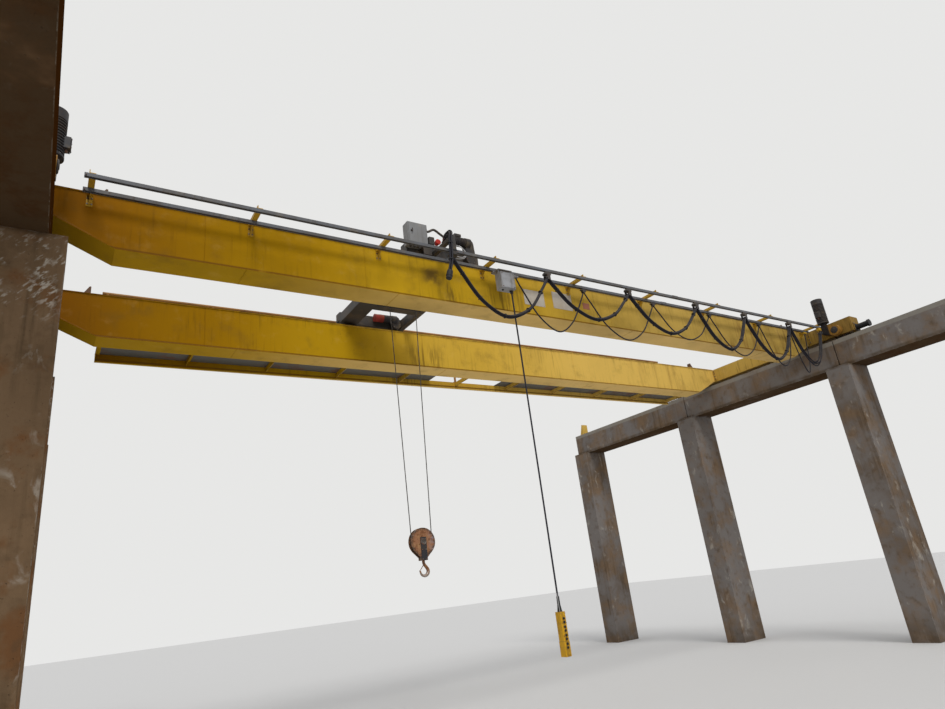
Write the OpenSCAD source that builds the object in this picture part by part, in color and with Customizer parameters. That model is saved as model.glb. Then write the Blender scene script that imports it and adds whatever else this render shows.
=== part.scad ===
// Overhead bridge crane on its concrete runway.
// X runs along the girders, Y along the runway, Z up from the floor.

/* [Runway] */
// Distance between the two crane rails
runway_span = 13990; // [12000:10:18000]
// Distance between two column lines
bay_length = 3880; // [3600:10:4200]
// Number of bays
bay_count = 3; // [2:1:4]
// Height of the concrete beams' top above the floor
runway_height = 5675; // [5200:5:6500]
// Depth of a concrete beam
beam_depth = 570; // [450:5:700]
// Width of a concrete beam
beam_width = 600; // [560:5:700]
// From the rail's centre line to the beam's inner face
beam_inset = 295; // [270:5:350]
// Gap between two beams over a column
beam_joint = 20; // [10:1:40]
// Size of a column across the hall
column_depth = 750; // [700:5:900]
// Size of a column along the runway
column_width = 460; // [400:5:600]
// How far a column stands proud of the beam's inner face
column_proud = 150; // [0:5:180]
// Height of the crane rail with its bedding
rail_height = 80; // [60:1:100]
// Width of the crane rail's head
rail_head = 55; // [45:1:60]
// Width of the crane rail's foot
rail_foot = 140; // [110:1:160]
// From the rail's end to the face of its end stop
stop_inset = 150; // [100:5:300]
// Height of an end stop above the rail
stop_height = 260; // [200:5:350]

/* [Bridge] */
// Distance between the girders' centre lines, and between the trolley rails
girder_gauge = 2447; // [2300:1:2800]
// Depth of a girder
girder_depth = 620; // [550:5:700]
// Width of a girder's box
girder_width = 365; // [320:5:420]
// How far the flanges stand out beyond the webs
flange_overhang = 10; // [5:1:25]
// Thickness of a flange
flange_t = 12; // [8:1:20]
// Thickness of a web
web_t = 8; // [6:1:12]
// From a concrete beam's inner face to the foot of the girders' haunch
haunch_reach = 558; // [500:1:700]
// Clearance between a haunch and the edge of the concrete beam
haunch_clearance = 57; // [10:1:80]
// Thickness of the plate that closes a girder's end
end_plate_t = 15; // [10:1:25]
// Number of diaphragms inside a girder
diaphragm_count = 8; // [4:1:12]
// Bore of the hole through a diaphragm
diaphragm_bore = 200; // [100:5:260]
// Height of the trolley rail
trolley_rail_h = 30; // [20:1:40]
// Width of the trolley rail
trolley_rail_w = 40; // [30:1:50]
// From the girder's end to the trolley rail's end
trolley_rail_inset = 600; // [500:5:700]

/* [End carriages] */
// Length of an end carriage
carriage_length = 4700; // [4500:10:5200]
// Width of an end carriage
carriage_width = 300; // [260:5:340]
// Depth of an end carriage
carriage_depth = 300; // [260:5:340]
// Wall of an end carriage
carriage_wall = 10; // [8:1:14]
// Gap from the rail's top to the carriage's underside
carriage_rise = 25; // [20:1:40]
// From an axle to its end of the carriage
axle_inset = 297; // [250:1:400]
// Tread diameter of a travel wheel
wheel_d = 250; // [220:5:300]
// Height of a wheel's flange
wheel_flange = 18; // [12:1:24]
// Width of a travel wheel
wheel_w = 110; // [90:5:130]
// Diameter of the bearing hole in a carriage's side
bearing_hole = 190; // [150:5:210]
// Diameter of a wheel's axle
axle_d = 70; // [50:1:90]
// How far an axle stands out of the carriage's side
axle_proud = 10; // [5:1:20]
// Width of a travel drive's gear case
drive_case_w = 130; // [100:5:160]
// Diameter of a travel motor over its fins
drive_motor_d = 222; // [180:1:240]
// Height of a travel motor's terminal box
drive_box_h = 130; // [100:5:160]
// From the motor's flange up to its terminal box
drive_box_rise = 120; // [80:5:160]
// Length of a travel motor
drive_motor_length = 535; // [450:5:600]
// Diameter of a buffer
buffer_d = 140; // [100:5:160]
// Length of a buffer
buffer_length = 270; // [150:5:300]

/* [Walkway] */
// Height of the walkway's floor above the girder's underside
walkway_rise = 105; // [60:5:200]
// Width of the walkway's floor
walkway_width = 550; // [450:5:700]
// Thickness of the floor plate
floor_t = 5; // [4:1:8]
// Depth of the walkway's edge channel
edge_depth = 120; // [100:5:160]
// Width of the edge channel's flanges
edge_width = 50; // [40:1:70]
// Height of the handrail above the floor
handrail_height = 1000; // [900:10:1100]
// Diameter of the handrail's tube
handrail_d = 42; // [34:1:50]
// Number of handrail posts
post_count = 9; // [6:1:12]
// Left end of the stretch without floor plates, from mid-span
gap_from = -600; // [-1500:10:0]
// Right end of the stretch without floor plates, from mid-span
gap_to = 900; // [100:10:1500]

/* [Festoon] */
// Side of the square festoon rail
track_size = 40; // [36:1:50]
// Wall of the festoon rail
track_wall = 3; // [2:0.5:4]
// Width of the slot under a festoon rail
track_slot = 14; // [12:1:18]
// From the girder's web to the inner rail's centre
inner_track_out = 145; // [120:5:200]
// From the girder's web to the outer rail's centre
outer_track_out = 405; // [380:5:450]
// From the girder's left end to the festoon rails' left end
track_inset_left = 365; // [200:5:500]
// From the girder's right end to the festoon rails' right end
track_inset_right = 185; // [150:5:300]
// From a rail's underside to the middle of the heavy bundle at its carriers
heavy_drop = 93; // [80:1:120]
// From a rail's underside to the middle of the pendant's cable at its carriers
light_drop = 48; // [40:1:70]
// Number of brackets along the girder
bracket_count = 9; // [6:1:12]
// Width of a bracket
bracket_width = 60; // [40:5:80]
// Diameter of the heavy cable bundle
heavy_cable_d = 70; // [50:1:80]
// Diameter of the pendant's cable
pendant_cable_d = 22; // [16:1:28]
// Length of a cable carrier
carrier_length = 110; // [80:5:140]

/* [Trolley] */
// Where the trolley stands, from mid-span
crab_x = -2110; // [-2300:10:-1900]
// Length of the trolley's frame
crab_length = 1180; // [1150:10:1300]
// From the hook's line to the middle of the trolley's frame
crab_shift = 30; // [0:10:60]
// From the trolley's end to a wheel's axle
crab_axle_inset = 185; // [180:5:220]
// Tread diameter of a trolley wheel
crab_wheel_d = 200; // [160:5:240]
// Width of a trolley wheel
crab_wheel_w = 80; // [70:5:100]
// Width of the trolley's side frames
side_frame_w = 160; // [150:5:200]
// Depth of the trolley's side frames
side_frame_h = 190; // [160:5:240]
// Width of the cross beam under the gear unit
wide_beam_w = 300; // [260:10:320]
// Width of the cross beam at the other end
narrow_beam_w = 90; // [70:10:120]
// Width of the bearer under the drum
drum_bearer_w = 100; // [80:10:140]
// Width of the bearer under the hoist motor
motor_bearer_w = 160; // [120:10:200]
// Wall of the trolley's frames
crab_wall = 8; // [6:1:12]
// Diameter of the rope drum
drum_d = 320; // [280:5:400]
// Length of the rope drum
drum_length = 700; // [600:10:800]
// Diameter of the hoist rope
rope_d = 13; // [10:1:18]
// From the hook's line to the rope that runs off the drum
drum_rope_reach = 220; // [180:5:240]
// From the hook's line to the rope at its anchor
anchor_rope_reach = 245; // [200:5:260]
// From the left fall of rope to the drum's end
drum_lead = 120; // [100:5:140]
// Width of the gear unit
gearbox_w = 190; // [160:5:200]
// Distance between the gear unit's slow and fast shafts
gearbox_reach = 600; // [560:10:680]
// Diameter of the hoist motor over its fins
motor_d = 250; // [200:5:280]
// Length of the hoist motor
motor_length = 520; // [450:5:560]
// Width of the electrical box
panel_width = 300; // [250:5:350]
// Height of the electrical box
panel_height = 330; // [280:5:400]
// Depth of the electrical box
panel_depth = 140; // [100:5:180]

/* [Hook block] */
// Height of the sheave's axle above the floor
block_z = 2470; // [2300:10:2800]
// Diameter of the sheave where the rope lies
sheave_d = 314; // [260:2:360]
// Diameter of the block's side plates
cheek_d = 370; // [340:5:420]
// Thickness of the block's side plates
cheek_t = 12; // [8:1:20]
// Width inside the block
block_inside = 64; // [50:1:80]
// Height of the hook from its seat to its lowest point
hook_height = 225; // [180:5:260]

/* [Pendant] */
// Width of the pendant control
control_w = 80; // [70:2:110]
// Depth of the pendant control
control_t = 100; // [80:2:120]
// Height of the pendant control
control_h = 490; // [420:5:560]
// Height of the pendant control's underside above the floor
control_z = 925; // [800:5:1200]
// Where the pendant control hangs, from mid-span
control_x = -1240; // [-1400:10:-1200]
// Diameter of a push button
button_d = 24; // [18:1:30]
// Height of the boot over the pendant control
boot_h = 90; // [60:5:120]
// From the pendant control's line to its trolley's left end
pendant_reach_left = 210; // [180:5:240]
// From the pendant control's line to its trolley's right end
pendant_reach_right = 240; // [220:5:270]
// Width of the pendant's terminal box
terminal_w = 240; // [200:5:280]
// Height of the pendant's terminal box
terminal_h = 250; // [200:5:300]
// From a festoon rail's underside to the terminal box's top
terminal_drop = 88; // [80:1:120]

/* [Hidden] */
$fn = 48;
seat = 0.3;
girder_step = 10;
concrete = "tan";
yellow = "goldenrod";
steel = "slategray";
dark = "dimgray";

// Levels and lines of the runway
rail_x = runway_span / 2;
beam_inner_x = rail_x - beam_inset;
column_inner_x = beam_inner_x - column_proud;
beam_bottom = runway_height - beam_depth;
rail_top = runway_height + rail_height;
runway_length = bay_count * bay_length + column_width;
stop_face_y = runway_length / 2 - stop_inset;
stop_t = 30;

// Levels and lines of the bridge
carriage_bottom = rail_top + carriage_rise;
carriage_top = carriage_bottom + carriage_depth;
carriage_inner_x = rail_x - carriage_width / 2;
girder_top = carriage_top + girder_step;
girder_bottom = girder_top - girder_depth;
girder_end_x = carriage_inner_x;
kink_x = beam_inner_x - haunch_reach;
haunch_slope = (runway_height + haunch_clearance - girder_bottom) / haunch_reach;
girder_end_z = girder_bottom + haunch_slope * (girder_end_x - kink_x);
wheelbase = carriage_length - 2 * axle_inset;
girder_y = girder_gauge / 2;
web_out_y = girder_y + girder_width / 2;
wheel_z = rail_top + wheel_d / 2;
trolley_rail_top = girder_top + trolley_rail_h;
trolley_rail_end = girder_end_x - trolley_rail_inset;
trolley_stop_l = 100;
trolley_stop_h = 170;
buffer_z = carriage_bottom + buffer_d / 2;

// Levels and lines of the walkway
floor_z = girder_bottom + walkway_rise;
edge_y = web_out_y + walkway_width;
walkway_left = -kink_x + 40;
walkway_right = kink_x - 40;
frame_bar = 60;

// Levels and lines of the festoon
track_top = girder_top - flange_t - 40;
track_bottom = track_top - track_size;
inner_track_y = -web_out_y - inner_track_out;
outer_track_y = -web_out_y - outer_track_out;
track_left = track_inset_left - girder_end_x;
track_right = girder_end_x - track_inset_right;
carrier_top = track_bottom - 10;
roller_d = 26;
roller_z = track_bottom + track_wall + roller_d / 2 + seat;
hanger_t = 6;
heavy_top_z = track_bottom - heavy_drop;
light_top_z = track_bottom - light_drop;
heavy_tops = [-660, 1010, 2670, 4050, 5490];
light_tops = [290, 1880, 3380, 4900, 5950];
clamp_l = 100;
heavy_end_x = track_right - 60;
light_end_x = heavy_end_x - clamp_l;
tow_x = crab_x - 160;

// Levels and lines of the trolley
crab_wheel_z = trolley_rail_top + crab_wheel_d / 2;
side_frame_z = trolley_rail_top + 50;
side_frame_top = side_frame_z + side_frame_h;
side_frame_in = girder_y - side_frame_w / 2;
crab_mid = crab_x + crab_shift;
crab_left = crab_mid - crab_length / 2;
crab_right = crab_mid + crab_length / 2;
crab_wheelbase = crab_length - 2 * crab_axle_inset;
wide_beam_right = crab_left + wide_beam_w;
narrow_beam_left = crab_right - narrow_beam_w;
cross_beam_h = 150;
cross_beam_top = side_frame_z + cross_beam_h;
drum_y = -drum_d / 2 - rope_d / 2;
drum_flange_d = drum_d + 80;
drum_z = cross_beam_top + drum_flange_d / 2 + 20;
rope_left_x = crab_x - drum_rope_reach;
rope_right_x = crab_x + anchor_rope_reach;
drum_left = rope_left_x - drum_lead;
drum_right = drum_left + drum_length;
drum_flange = 40;
drum_shaft_d = 80;
anchor_z = side_frame_z + 20;
motor_y = drum_y + gearbox_reach;
motor_z = drum_z + 20;
trolley_buffer_l = 25;
panel_left = crab_left - 30;

// Levels and lines of the hook block and the pendant
rope_block_left = crab_x - sheave_d / 2;
rope_block_right = crab_x + sheave_d / 2;
block_half = block_inside / 2 + cheek_t;
block_pin_d = 60;
crosshead_h = 50;
hook_shank_d = 40;
hook_play = 2;
hook_bar = 44;
bowl_r = 60;
bowl_swell = 1.15;
// Middles of the hook's bar as shares of the bowl's radius, from the shank to the tip
hook_middles = concat([[0, 2.3], [0, 1.8], [0.2, 1.35]],
    [for (turn = [45:-27.5:-175]) [cos(turn), sin(turn)]], [[-1.1, 0.25]]);
hook_seat_z = block_z - cheek_d / 2 - 60;
pendant_y = (inner_track_y + outer_track_y) / 2 + 12;
pendant_left = control_x - pendant_reach_left;
pendant_right = control_x + pendant_reach_right;
light_start_x = pendant_right - 30;
terminal_right = pendant_left + terminal_w;
terminal_top = track_bottom - terminal_drop;
terminal_bottom = terminal_top - terminal_h;
terminal_depth = 130;
gland_x = control_x - 5;
gland_h = 40;
gland_z = terminal_bottom - gland_h;
control_top = control_z + control_h + boot_h;

// A box between two corners
module block(low, high) translate(low) cube(high - low);

// What stands at both ends of the span
module both_ends() {
    children();
    mirror([1, 0, 0]) children();
}

// What stands on both sides of the bridge
module both_sides() {
    children();
    mirror([0, 1, 0]) children();
}

// A round bar along X
module bar_x(d, from, to, y, z) translate([from, y, z]) rotate([0, 90, 0]) cylinder(d = d, h = to - from);

// A round bar along Y
module bar_y(d, x, from, to, z) translate([x, from, z]) rotate([-90, 0, 0]) cylinder(d = d, h = to - from);

// A plate drawn in X and Z, from one Y to another
module plate_xz(from, to) translate([0, to, 0]) rotate([90, 0, 0]) linear_extrude(to - from) children();

// A bar drawn in Y and Z, from one X to another
module bar_yz(from, to) translate([from, 0, 0]) rotate([90, 0, 90]) linear_extrude(to - from) children();

// A rounded rectangle about the origin
module rounded(width, height, radius) {
    square([width - 2 * radius, height], center = true);
    square([width, height - 2 * radius], center = true);
    for (x = [-1, 1], y = [-1, 1]) translate([x * (width / 2 - radius), y * (height / 2 - radius)])
        circle(radius);
}

// Two circles joined by their outer tangents
module capsule(from, from_d, to, to_d) {
    way = to - from;
    turn = atan2(way[1], way[0]);
    spread_angle = acos((from_d - to_d) / 2 / norm(way));
    translate(from) circle(d = from_d);
    translate(to) circle(d = to_d);
    polygon([for (corner = [[from, from_d, 1], [from, from_d, -1], [to, to_d, -1], [to, to_d, 1]])
        let (angle = turn + corner[2] * spread_angle) corner[0] + corner[1] / 2 * [cos(angle), sin(angle)]]);
}

// Column line number i, counted along Y
function line_y(i) = (i - bay_count / 2) * bay_length;

// Places spread evenly between two ends
function spread(from, to, count) = [for (i = [0:count - 1]) from + (to - from) * i / (count - 1)];

module runway_columns() {
    color(concrete) both_ends() for (i = [0:bay_count])
        block([column_inner_x, line_y(i) - column_width / 2, 0],
            [column_inner_x + column_depth, line_y(i) + column_width / 2, beam_bottom]);
}

module runway_beams() {
    color(concrete) both_ends() for (i = [0:bay_count - 1]) {
        first = i == 0 ? -runway_length / 2 : line_y(i) + beam_joint / 2;
        last = i == bay_count - 1 ? runway_length / 2 : line_y(i + 1) - beam_joint / 2;
        block([beam_inner_x, first, beam_bottom], [beam_inner_x + beam_width, last, runway_height]);
    }
}

// Half of the rail's section, from its centre line
module rail_section() {
    foot_t = 12;
    web_w = 26;
    head_h = 24;
    polygon([[-rail_foot / 2, 0], [rail_foot / 2, 0], [rail_foot / 2, foot_t / 2], [web_w / 2, foot_t],
        [web_w / 2, rail_height - head_h], [rail_head / 2, rail_height - head_h + 4],
        [rail_head / 2, rail_height], [-rail_head / 2, rail_height],
        [-rail_head / 2, rail_height - head_h + 4], [-web_w / 2, rail_height - head_h],
        [-web_w / 2, foot_t], [-rail_foot / 2, foot_t / 2]]);
}

module crane_rails() {
    color(steel) both_ends() translate([rail_x, runway_length / 2, runway_height])
        rotate([90, 0, 0]) linear_extrude(runway_length) rail_section();
}

// One end stop: a plate across the rail's end with two ribs behind it
module end_stop() {
    half = rail_foot / 2 + 30;
    rib_t = 16;
    top = rail_top + stop_height;
    difference() {
        union() {
            block([-half, 0, runway_height], [half, stop_t, top]);
            for (side = [-1, 1]) translate([side * (half - rib_t / 2) - rib_t / 2, 0, 0]) bar_yz(0, rib_t)
                polygon([[stop_t, runway_height], [stop_t, top - 20], [stop_inset - 10, runway_height]]);
        }
        translate([0, -1, 0]) block([-rail_foot / 2 - 1, 0, runway_height - 1],
            [rail_foot / 2 + 1, stop_t + 2, rail_top + 1]);
    }
}

module runway_end_stops() {
    color(yellow) both_sides() both_ends() translate([rail_x, stop_face_y, 0]) end_stop();
}

// The girder's outline, its ends haunched up from underneath
module girder_outline(inset) {
    haunch_angle = atan(haunch_slope);
    end_z = girder_end_z + inset / cos(haunch_angle);
    foot_x = kink_x - inset * tan(haunch_angle / 2);
    polygon([[-girder_end_x, girder_top - inset], [girder_end_x, girder_top - inset], [girder_end_x, end_z],
        [foot_x, girder_bottom + inset], [-foot_x, girder_bottom + inset], [-girder_end_x, end_z]]);
}

// One box girder, its two webs between a top and a bottom flange
module girder(middle_y) {
    half = girder_width / 2;
    wide = half + flange_overhang;
    hole_z = (girder_top + girder_bottom) / 2;
    translate([0, middle_y, 0]) {
        for (side = [0, 1]) mirror([0, side, 0])
            plate_xz(half - web_t, half) girder_outline(flange_t);
        plate_xz(-wide, wide) difference() {
            girder_outline(0);
            girder_outline(flange_t);
        }
        both_ends() block([girder_end_x - end_plate_t, -wide, girder_end_z], [girder_end_x, wide, girder_top]);
        for (x = spread(-kink_x, kink_x, diaphragm_count)) difference() {
            block([x - web_t / 2, -half + web_t, girder_bottom + flange_t],
                [x + web_t / 2, half - web_t, girder_top - flange_t]);
            bar_x(diaphragm_bore, x - web_t, x + web_t, 0, hole_z);
        }
    }
}

module front_girder() color(yellow) girder(-girder_y);

module back_girder() color(yellow) girder(girder_y);

module trolley_rails() {
    color(steel) both_sides() {
        block([-trolley_rail_end, girder_y - trolley_rail_w / 2, girder_top],
            [trolley_rail_end, girder_y + trolley_rail_w / 2, trolley_rail_top]);
        both_ends() plate_xz(girder_y - 40, girder_y + 40)
            polygon([[trolley_rail_end, girder_top], [trolley_rail_end, girder_top + trolley_stop_h],
                [trolley_rail_end + 20, girder_top + trolley_stop_h],
                [trolley_rail_end + trolley_stop_l, girder_top + 40],
                [trolley_rail_end + trolley_stop_l, girder_top]]);
    }
}

// One end carriage: a box open underneath at its wheels, with bearing holes
module end_carriage() {
    half = carriage_width / 2;
    wheel_room = wheel_d / 2 + wheel_flange + 15;
    difference() {
        block([rail_x - half, -carriage_length / 2, carriage_bottom],
            [rail_x + half, carriage_length / 2, carriage_top]);
        block([rail_x - half + carriage_wall, -carriage_length / 2 + carriage_wall, carriage_bottom + carriage_wall],
            [rail_x + half - carriage_wall, carriage_length / 2 - carriage_wall, carriage_top - carriage_wall]);
        for (y = [-wheelbase / 2, wheelbase / 2]) {
            block([rail_x - wheel_w / 2 - 12, y - wheel_room, carriage_bottom - 1],
                [rail_x + wheel_w / 2 + 12, y + wheel_room, carriage_bottom + carriage_wall + 1]);
            bar_x(bearing_hole, rail_x - half - 1, rail_x + half + 1, y, wheel_z);
        }
    }
}

module left_end_carriage() color(yellow) mirror([1, 0, 0]) end_carriage();

module right_end_carriage() color(yellow) end_carriage();

// A flanged wheel with its axle along X and a bearing at each side
module travel_wheel(y) {
    tread = rail_head + 10;
    cheek = (wheel_w - tread) / 2;
    half = carriage_width / 2;
    bearing_t = 40;
    bar_x(wheel_d, rail_x - tread / 2, rail_x + tread / 2, y, wheel_z);
    for (side = [-1, 1]) {
        bar_x(wheel_d + 2 * wheel_flange, rail_x + side * (tread + cheek) / 2 - cheek / 2,
            rail_x + side * (tread + cheek) / 2 + cheek / 2, y, wheel_z);
        bar_x(bearing_hole - 2 * seat, rail_x + side * (half - bearing_t / 2) - bearing_t / 2,
            rail_x + side * (half - bearing_t / 2) + bearing_t / 2, y, wheel_z);
    }
    bar_x(axle_d, rail_x - half - axle_proud, rail_x + half + axle_proud, y, wheel_z);
}

module bridge_wheels() {
    color(dark) both_ends() both_sides() travel_wheel(wheelbase / 2);
}

module bridge_buffers() {
    plate_t = 15;
    head_t = 40;
    face_y = carriage_length / 2 + plate_t;
    tip_y = carriage_length / 2 + buffer_length;
    color(dark) both_ends() both_sides() {
        block([rail_x - buffer_d / 2, carriage_length / 2, buffer_z - buffer_d / 2],
            [rail_x + buffer_d / 2, face_y, buffer_z + buffer_d / 2]);
        bar_y(buffer_d * 0.8, rail_x, face_y, tip_y - head_t, buffer_z);
        bar_y(buffer_d, rail_x, tip_y - head_t, tip_y, buffer_z);
    }
}

// Gear unit on the carriage's inner side, with its motor upright
module travel_drive() {
    wheel_y = -wheelbase / 2;
    case_d = 210;
    input_d = 190;
    input_y = wheel_y + input_d + 10;
    inner = carriage_inner_x - axle_proud - seat;
    outer = inner - drive_case_w;
    input_z = wheel_z + 80;
    neck_top = carriage_top + 20;
    flange_h = 25;
    cowl_h = 110;
    barrel_h = drive_motor_length - flange_h - cowl_h;
    fin_t = 9;
    bar_yz(outer, inner) capsule([wheel_y, wheel_z], case_d, [input_y, input_z], input_d);
    bar_yz(outer + drive_case_w / 2 - fin_t, outer + drive_case_w / 2 + fin_t)
        capsule([wheel_y, wheel_z], case_d + 24, [input_y, input_z], input_d + 24);
    bar_x(axle_d + 40, outer - 12, outer, wheel_y, wheel_z);
    translate([(inner + outer) / 2, input_y, 0]) {
        translate([0, 0, input_z]) cylinder(d = drive_case_w - 10, h = neck_top - input_z);
        translate([0, 0, neck_top]) cylinder(d = drive_motor_d + 4, h = flange_h);
        translate([0, 0, neck_top + flange_h]) cylinder(d = drive_motor_d - 26, h = barrel_h);
        for (z = spread(neck_top + 2 * flange_h, neck_top + barrel_h, 12))
            translate([0, 0, z]) cylinder(d = drive_motor_d, h = fin_t);
        translate([0, 0, neck_top + flange_h + barrel_h]) cylinder(d = drive_motor_d - 2, h = cowl_h);
        block([-drive_motor_d / 2 - 40, -50, neck_top + drive_box_rise],
            [-drive_motor_d / 2 + 30, 50, neck_top + drive_box_rise + drive_box_h]);
    }
}

module bridge_drives() {
    color(dark) both_ends() travel_drive();
}

module walkway_floor() {
    color("gray") for (part = [[walkway_left, gap_from], [gap_to, walkway_right]])
        block([part[0], web_out_y, floor_z - floor_t], [part[1], edge_y, floor_z]);
}

// The channel that edges the walkway and the cross bars under its floor
module walkway_frame() {
    web = 7;
    color(yellow) {
        bar_yz(walkway_left, walkway_right) translate([edge_y, floor_z - edge_depth])
            polygon([[0, 0], [edge_width, 0], [edge_width, web], [web, web], [web, edge_depth - web],
                [edge_width, edge_depth - web], [edge_width, edge_depth], [0, edge_depth]]);
        for (x = spread(walkway_left, walkway_right - frame_bar, post_count + 2)) {
            block([x, web_out_y, floor_z - floor_t - 80], [x + 6, edge_y, floor_z - floor_t]);
            block([x, web_out_y, floor_z - floor_t - 6], [x + frame_bar, edge_y, floor_z - floor_t]);
            block([x, web_out_y, floor_z - floor_t - 80], [x + frame_bar, web_out_y + 6, floor_z - floor_t]);
        }
    }
}

module walkway_handrail() {
    post_y = edge_y + edge_width - 30;
    rail_z = floor_z + handrail_height - handrail_d / 2;
    color("peru") {
        for (z = [rail_z, floor_z + handrail_height / 2])
            bar_x(handrail_d, walkway_left + 30, walkway_right - 30, post_y, z);
        for (x = spread(walkway_left + 100, walkway_right - 100, post_count))
            translate([x, post_y, floor_z]) cylinder(d = handrail_d, h = handrail_height - handrail_d / 2);
    }
}

// Square rail with a slot underneath
module track_section() {
    half = track_size / 2;
    difference() {
        translate([-half, 0]) square(track_size);
        translate([-half + track_wall, track_wall]) square(track_size - 2 * track_wall);
        translate([-track_slot / 2, -1]) square([track_slot, track_wall + 2]);
    }
}

module festoon_rails() {
    color("lightsteelblue") for (y = [inner_track_y, outer_track_y])
        translate([0, y, track_bottom]) bar_yz(track_left, track_right) track_section();
}

// Bracket arms on the girder's web and the fixed clamps at the cables' end
module festoon_brackets() {
    arm_out = outer_track_y - track_size / 2;
    arm_h = 40;
    plate_t = 8;
    foot_h = 120;
    gusset = inner_track_out - track_size / 2 - 15;
    color(yellow) {
        for (x = spread(track_left + 40, track_right - 40 - bracket_width, bracket_count)) {
            block([x, arm_out, track_top], [x + bracket_width, -web_out_y, track_top + plate_t]);
            block([x, arm_out, track_top], [x + plate_t, -web_out_y, track_top + arm_h]);
            block([x, -web_out_y - plate_t, track_top - foot_h], [x + bracket_width, -web_out_y, track_top]);
            bar_yz(x + bracket_width / 2 - plate_t / 2, x + bracket_width / 2 + plate_t / 2)
                polygon([[-web_out_y, track_top], [-web_out_y - gusset, track_top],
                    [-web_out_y - plate_t, track_top - foot_h]]);
        }
        end_clamp(heavy_end_x, outer_track_y, heavy_top_z, heavy_cable_d);
        end_clamp(light_end_x, inner_track_y, light_top_z, pendant_cable_d);
    }
}

// Block under the rail that holds a cable's end
module end_clamp(x, y, cable_z, cable_d) {
    half_w = track_size / 2 + 5;
    block([x - clamp_l / 2, y - half_w, cable_z + cable_d / 2 + seat], [x + clamp_l / 2, y + half_w, track_bottom]);
}

// Hanger and its two rollers inside a festoon rail
module hanger(x, y) translate([x, y, 0]) {
    half_l = 30;
    block([-half_l, -hanger_t / 2, carrier_top], [half_l, hanger_t / 2, roller_z + 4]);
    for (side = [-1, 1]) bar_y(roller_d, side * (half_l - 12), -track_slot, track_slot, roller_z);
}

// Carrier in a festoon rail, the cable under its saddle
module carrier(x, y, cable_z, cable_d) {
    half_w = max(cable_d, 40) / 2;
    half_l = carrier_length / 2;
    low = cable_z + cable_d / 2 + seat;
    lip = (carrier_top - low) * 0.4;
    color(dark) {
        translate([x, y, 0]) plate_xz(-half_w, half_w) polygon([[-half_l, low], [half_l, low], [half_l, low + lip],
            [half_l * 0.6, carrier_top], [-half_l * 0.6, carrier_top], [-half_l, low + lip]]);
        hanger(x, y);
    }
}

module heavy_carrier(i) carrier(heavy_tops[i], outer_track_y, heavy_top_z, heavy_cable_d);

module light_carrier(i) carrier(light_tops[i], inner_track_y, light_top_z, pendant_cable_d);

// Side frames over the trolley rails, cross beams and the hoist's bearers
module crab_frame() {
    wheel_room = crab_wheel_d / 2 + 25;
    color(dark) {
        translate([crab_mid, 0, 0]) {
            both_sides() difference() {
                block([-crab_length / 2, side_frame_in, side_frame_z],
                    [crab_length / 2, side_frame_in + side_frame_w, side_frame_top]);
                for (side = [-1, 1]) translate([side * crab_wheelbase / 2, 0, 0])
                    block([-wheel_room, girder_y - crab_wheel_w / 2 - 8, side_frame_z - 1],
                        [wheel_room, girder_y + crab_wheel_w / 2 + 8, side_frame_top - crab_wall]);
            }
            both_ends() both_sides() bar_x(60, crab_length / 2, crab_length / 2 + trolley_buffer_l,
                girder_y, girder_top + trolley_stop_h - 45);
        }
        block([crab_left, -side_frame_in, side_frame_z], [wide_beam_right, side_frame_in, cross_beam_top]);
        block([narrow_beam_left, -side_frame_in, side_frame_z], [crab_right, side_frame_in, cross_beam_top]);
        for (bearer = [[drum_y, drum_bearer_w], [motor_y, motor_bearer_w]])
            block([wide_beam_right, bearer[0] - bearer[1] / 2, side_frame_z],
                [narrow_beam_left, bearer[0] + bearer[1] / 2, cross_beam_top]);
        block([rope_right_x - 40, drum_y + drum_bearer_w / 2, anchor_z],
            [rope_right_x + 40, motor_y - motor_bearer_w / 2, anchor_z + 80]);
    }
    color(dark) drum_bearing();
}

// Bearing pedestal at the drum's free end
module drum_bearing() {
    bearing_x = drum_right + 20;
    width = 60;
    half = drum_shaft_d + 10;
    difference() {
        union() {
            bar_x(2 * half, bearing_x, bearing_x + width, drum_y, drum_z);
            block([bearing_x, drum_y - half, cross_beam_top], [bearing_x + width, drum_y + half, drum_z]);
            block([bearing_x, drum_y - half - 30, cross_beam_top],
                [bearing_x + width, drum_y + half + 30, cross_beam_top + 20]);
        }
        bar_x(drum_shaft_d + 2 * seat, bearing_x - 1, bearing_x + width + 1, drum_y, drum_z);
    }
}

module crab_wheels() {
    tread = trolley_rail_w + 10;
    color("gray") both_sides() for (side = [-1, 1]) {
        x = crab_mid + side * crab_wheelbase / 2;
        bar_y(crab_wheel_d, x, girder_y - tread / 2, girder_y + tread / 2, crab_wheel_z);
        for (flank = [-1, 1]) bar_y(crab_wheel_d + 24, x, girder_y + flank * (tread / 2 + 7.5) - 7.5,
            girder_y + flank * (tread / 2 + 7.5) + 7.5, crab_wheel_z);
        bar_y(50, x, girder_y - crab_wheel_w / 2 - 8, girder_y + crab_wheel_w / 2 + 8, crab_wheel_z);
    }
}

module hoist_drum() {
    groove_pitch = 20;
    groove_count = floor((drum_length - 4 * drum_flange) / groove_pitch);
    color("gray") difference() {
        union() {
            bar_x(drum_d, drum_left, drum_right, drum_y, drum_z);
            for (x = [drum_left, drum_right - drum_flange]) bar_x(drum_flange_d, x, x + drum_flange, drum_y, drum_z);
            bar_x(drum_shaft_d, drum_left - 30, drum_right + 90, drum_y, drum_z);
        }
        for (i = [0:groove_count]) translate([drum_left + 2 * drum_flange + i * groove_pitch, drum_y, drum_z])
            rotate([0, 90, 0]) rotate_extrude() translate([drum_d / 2 + 3, 0]) circle(d = rope_d + 1, $fn = 16);
    }
}

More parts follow.
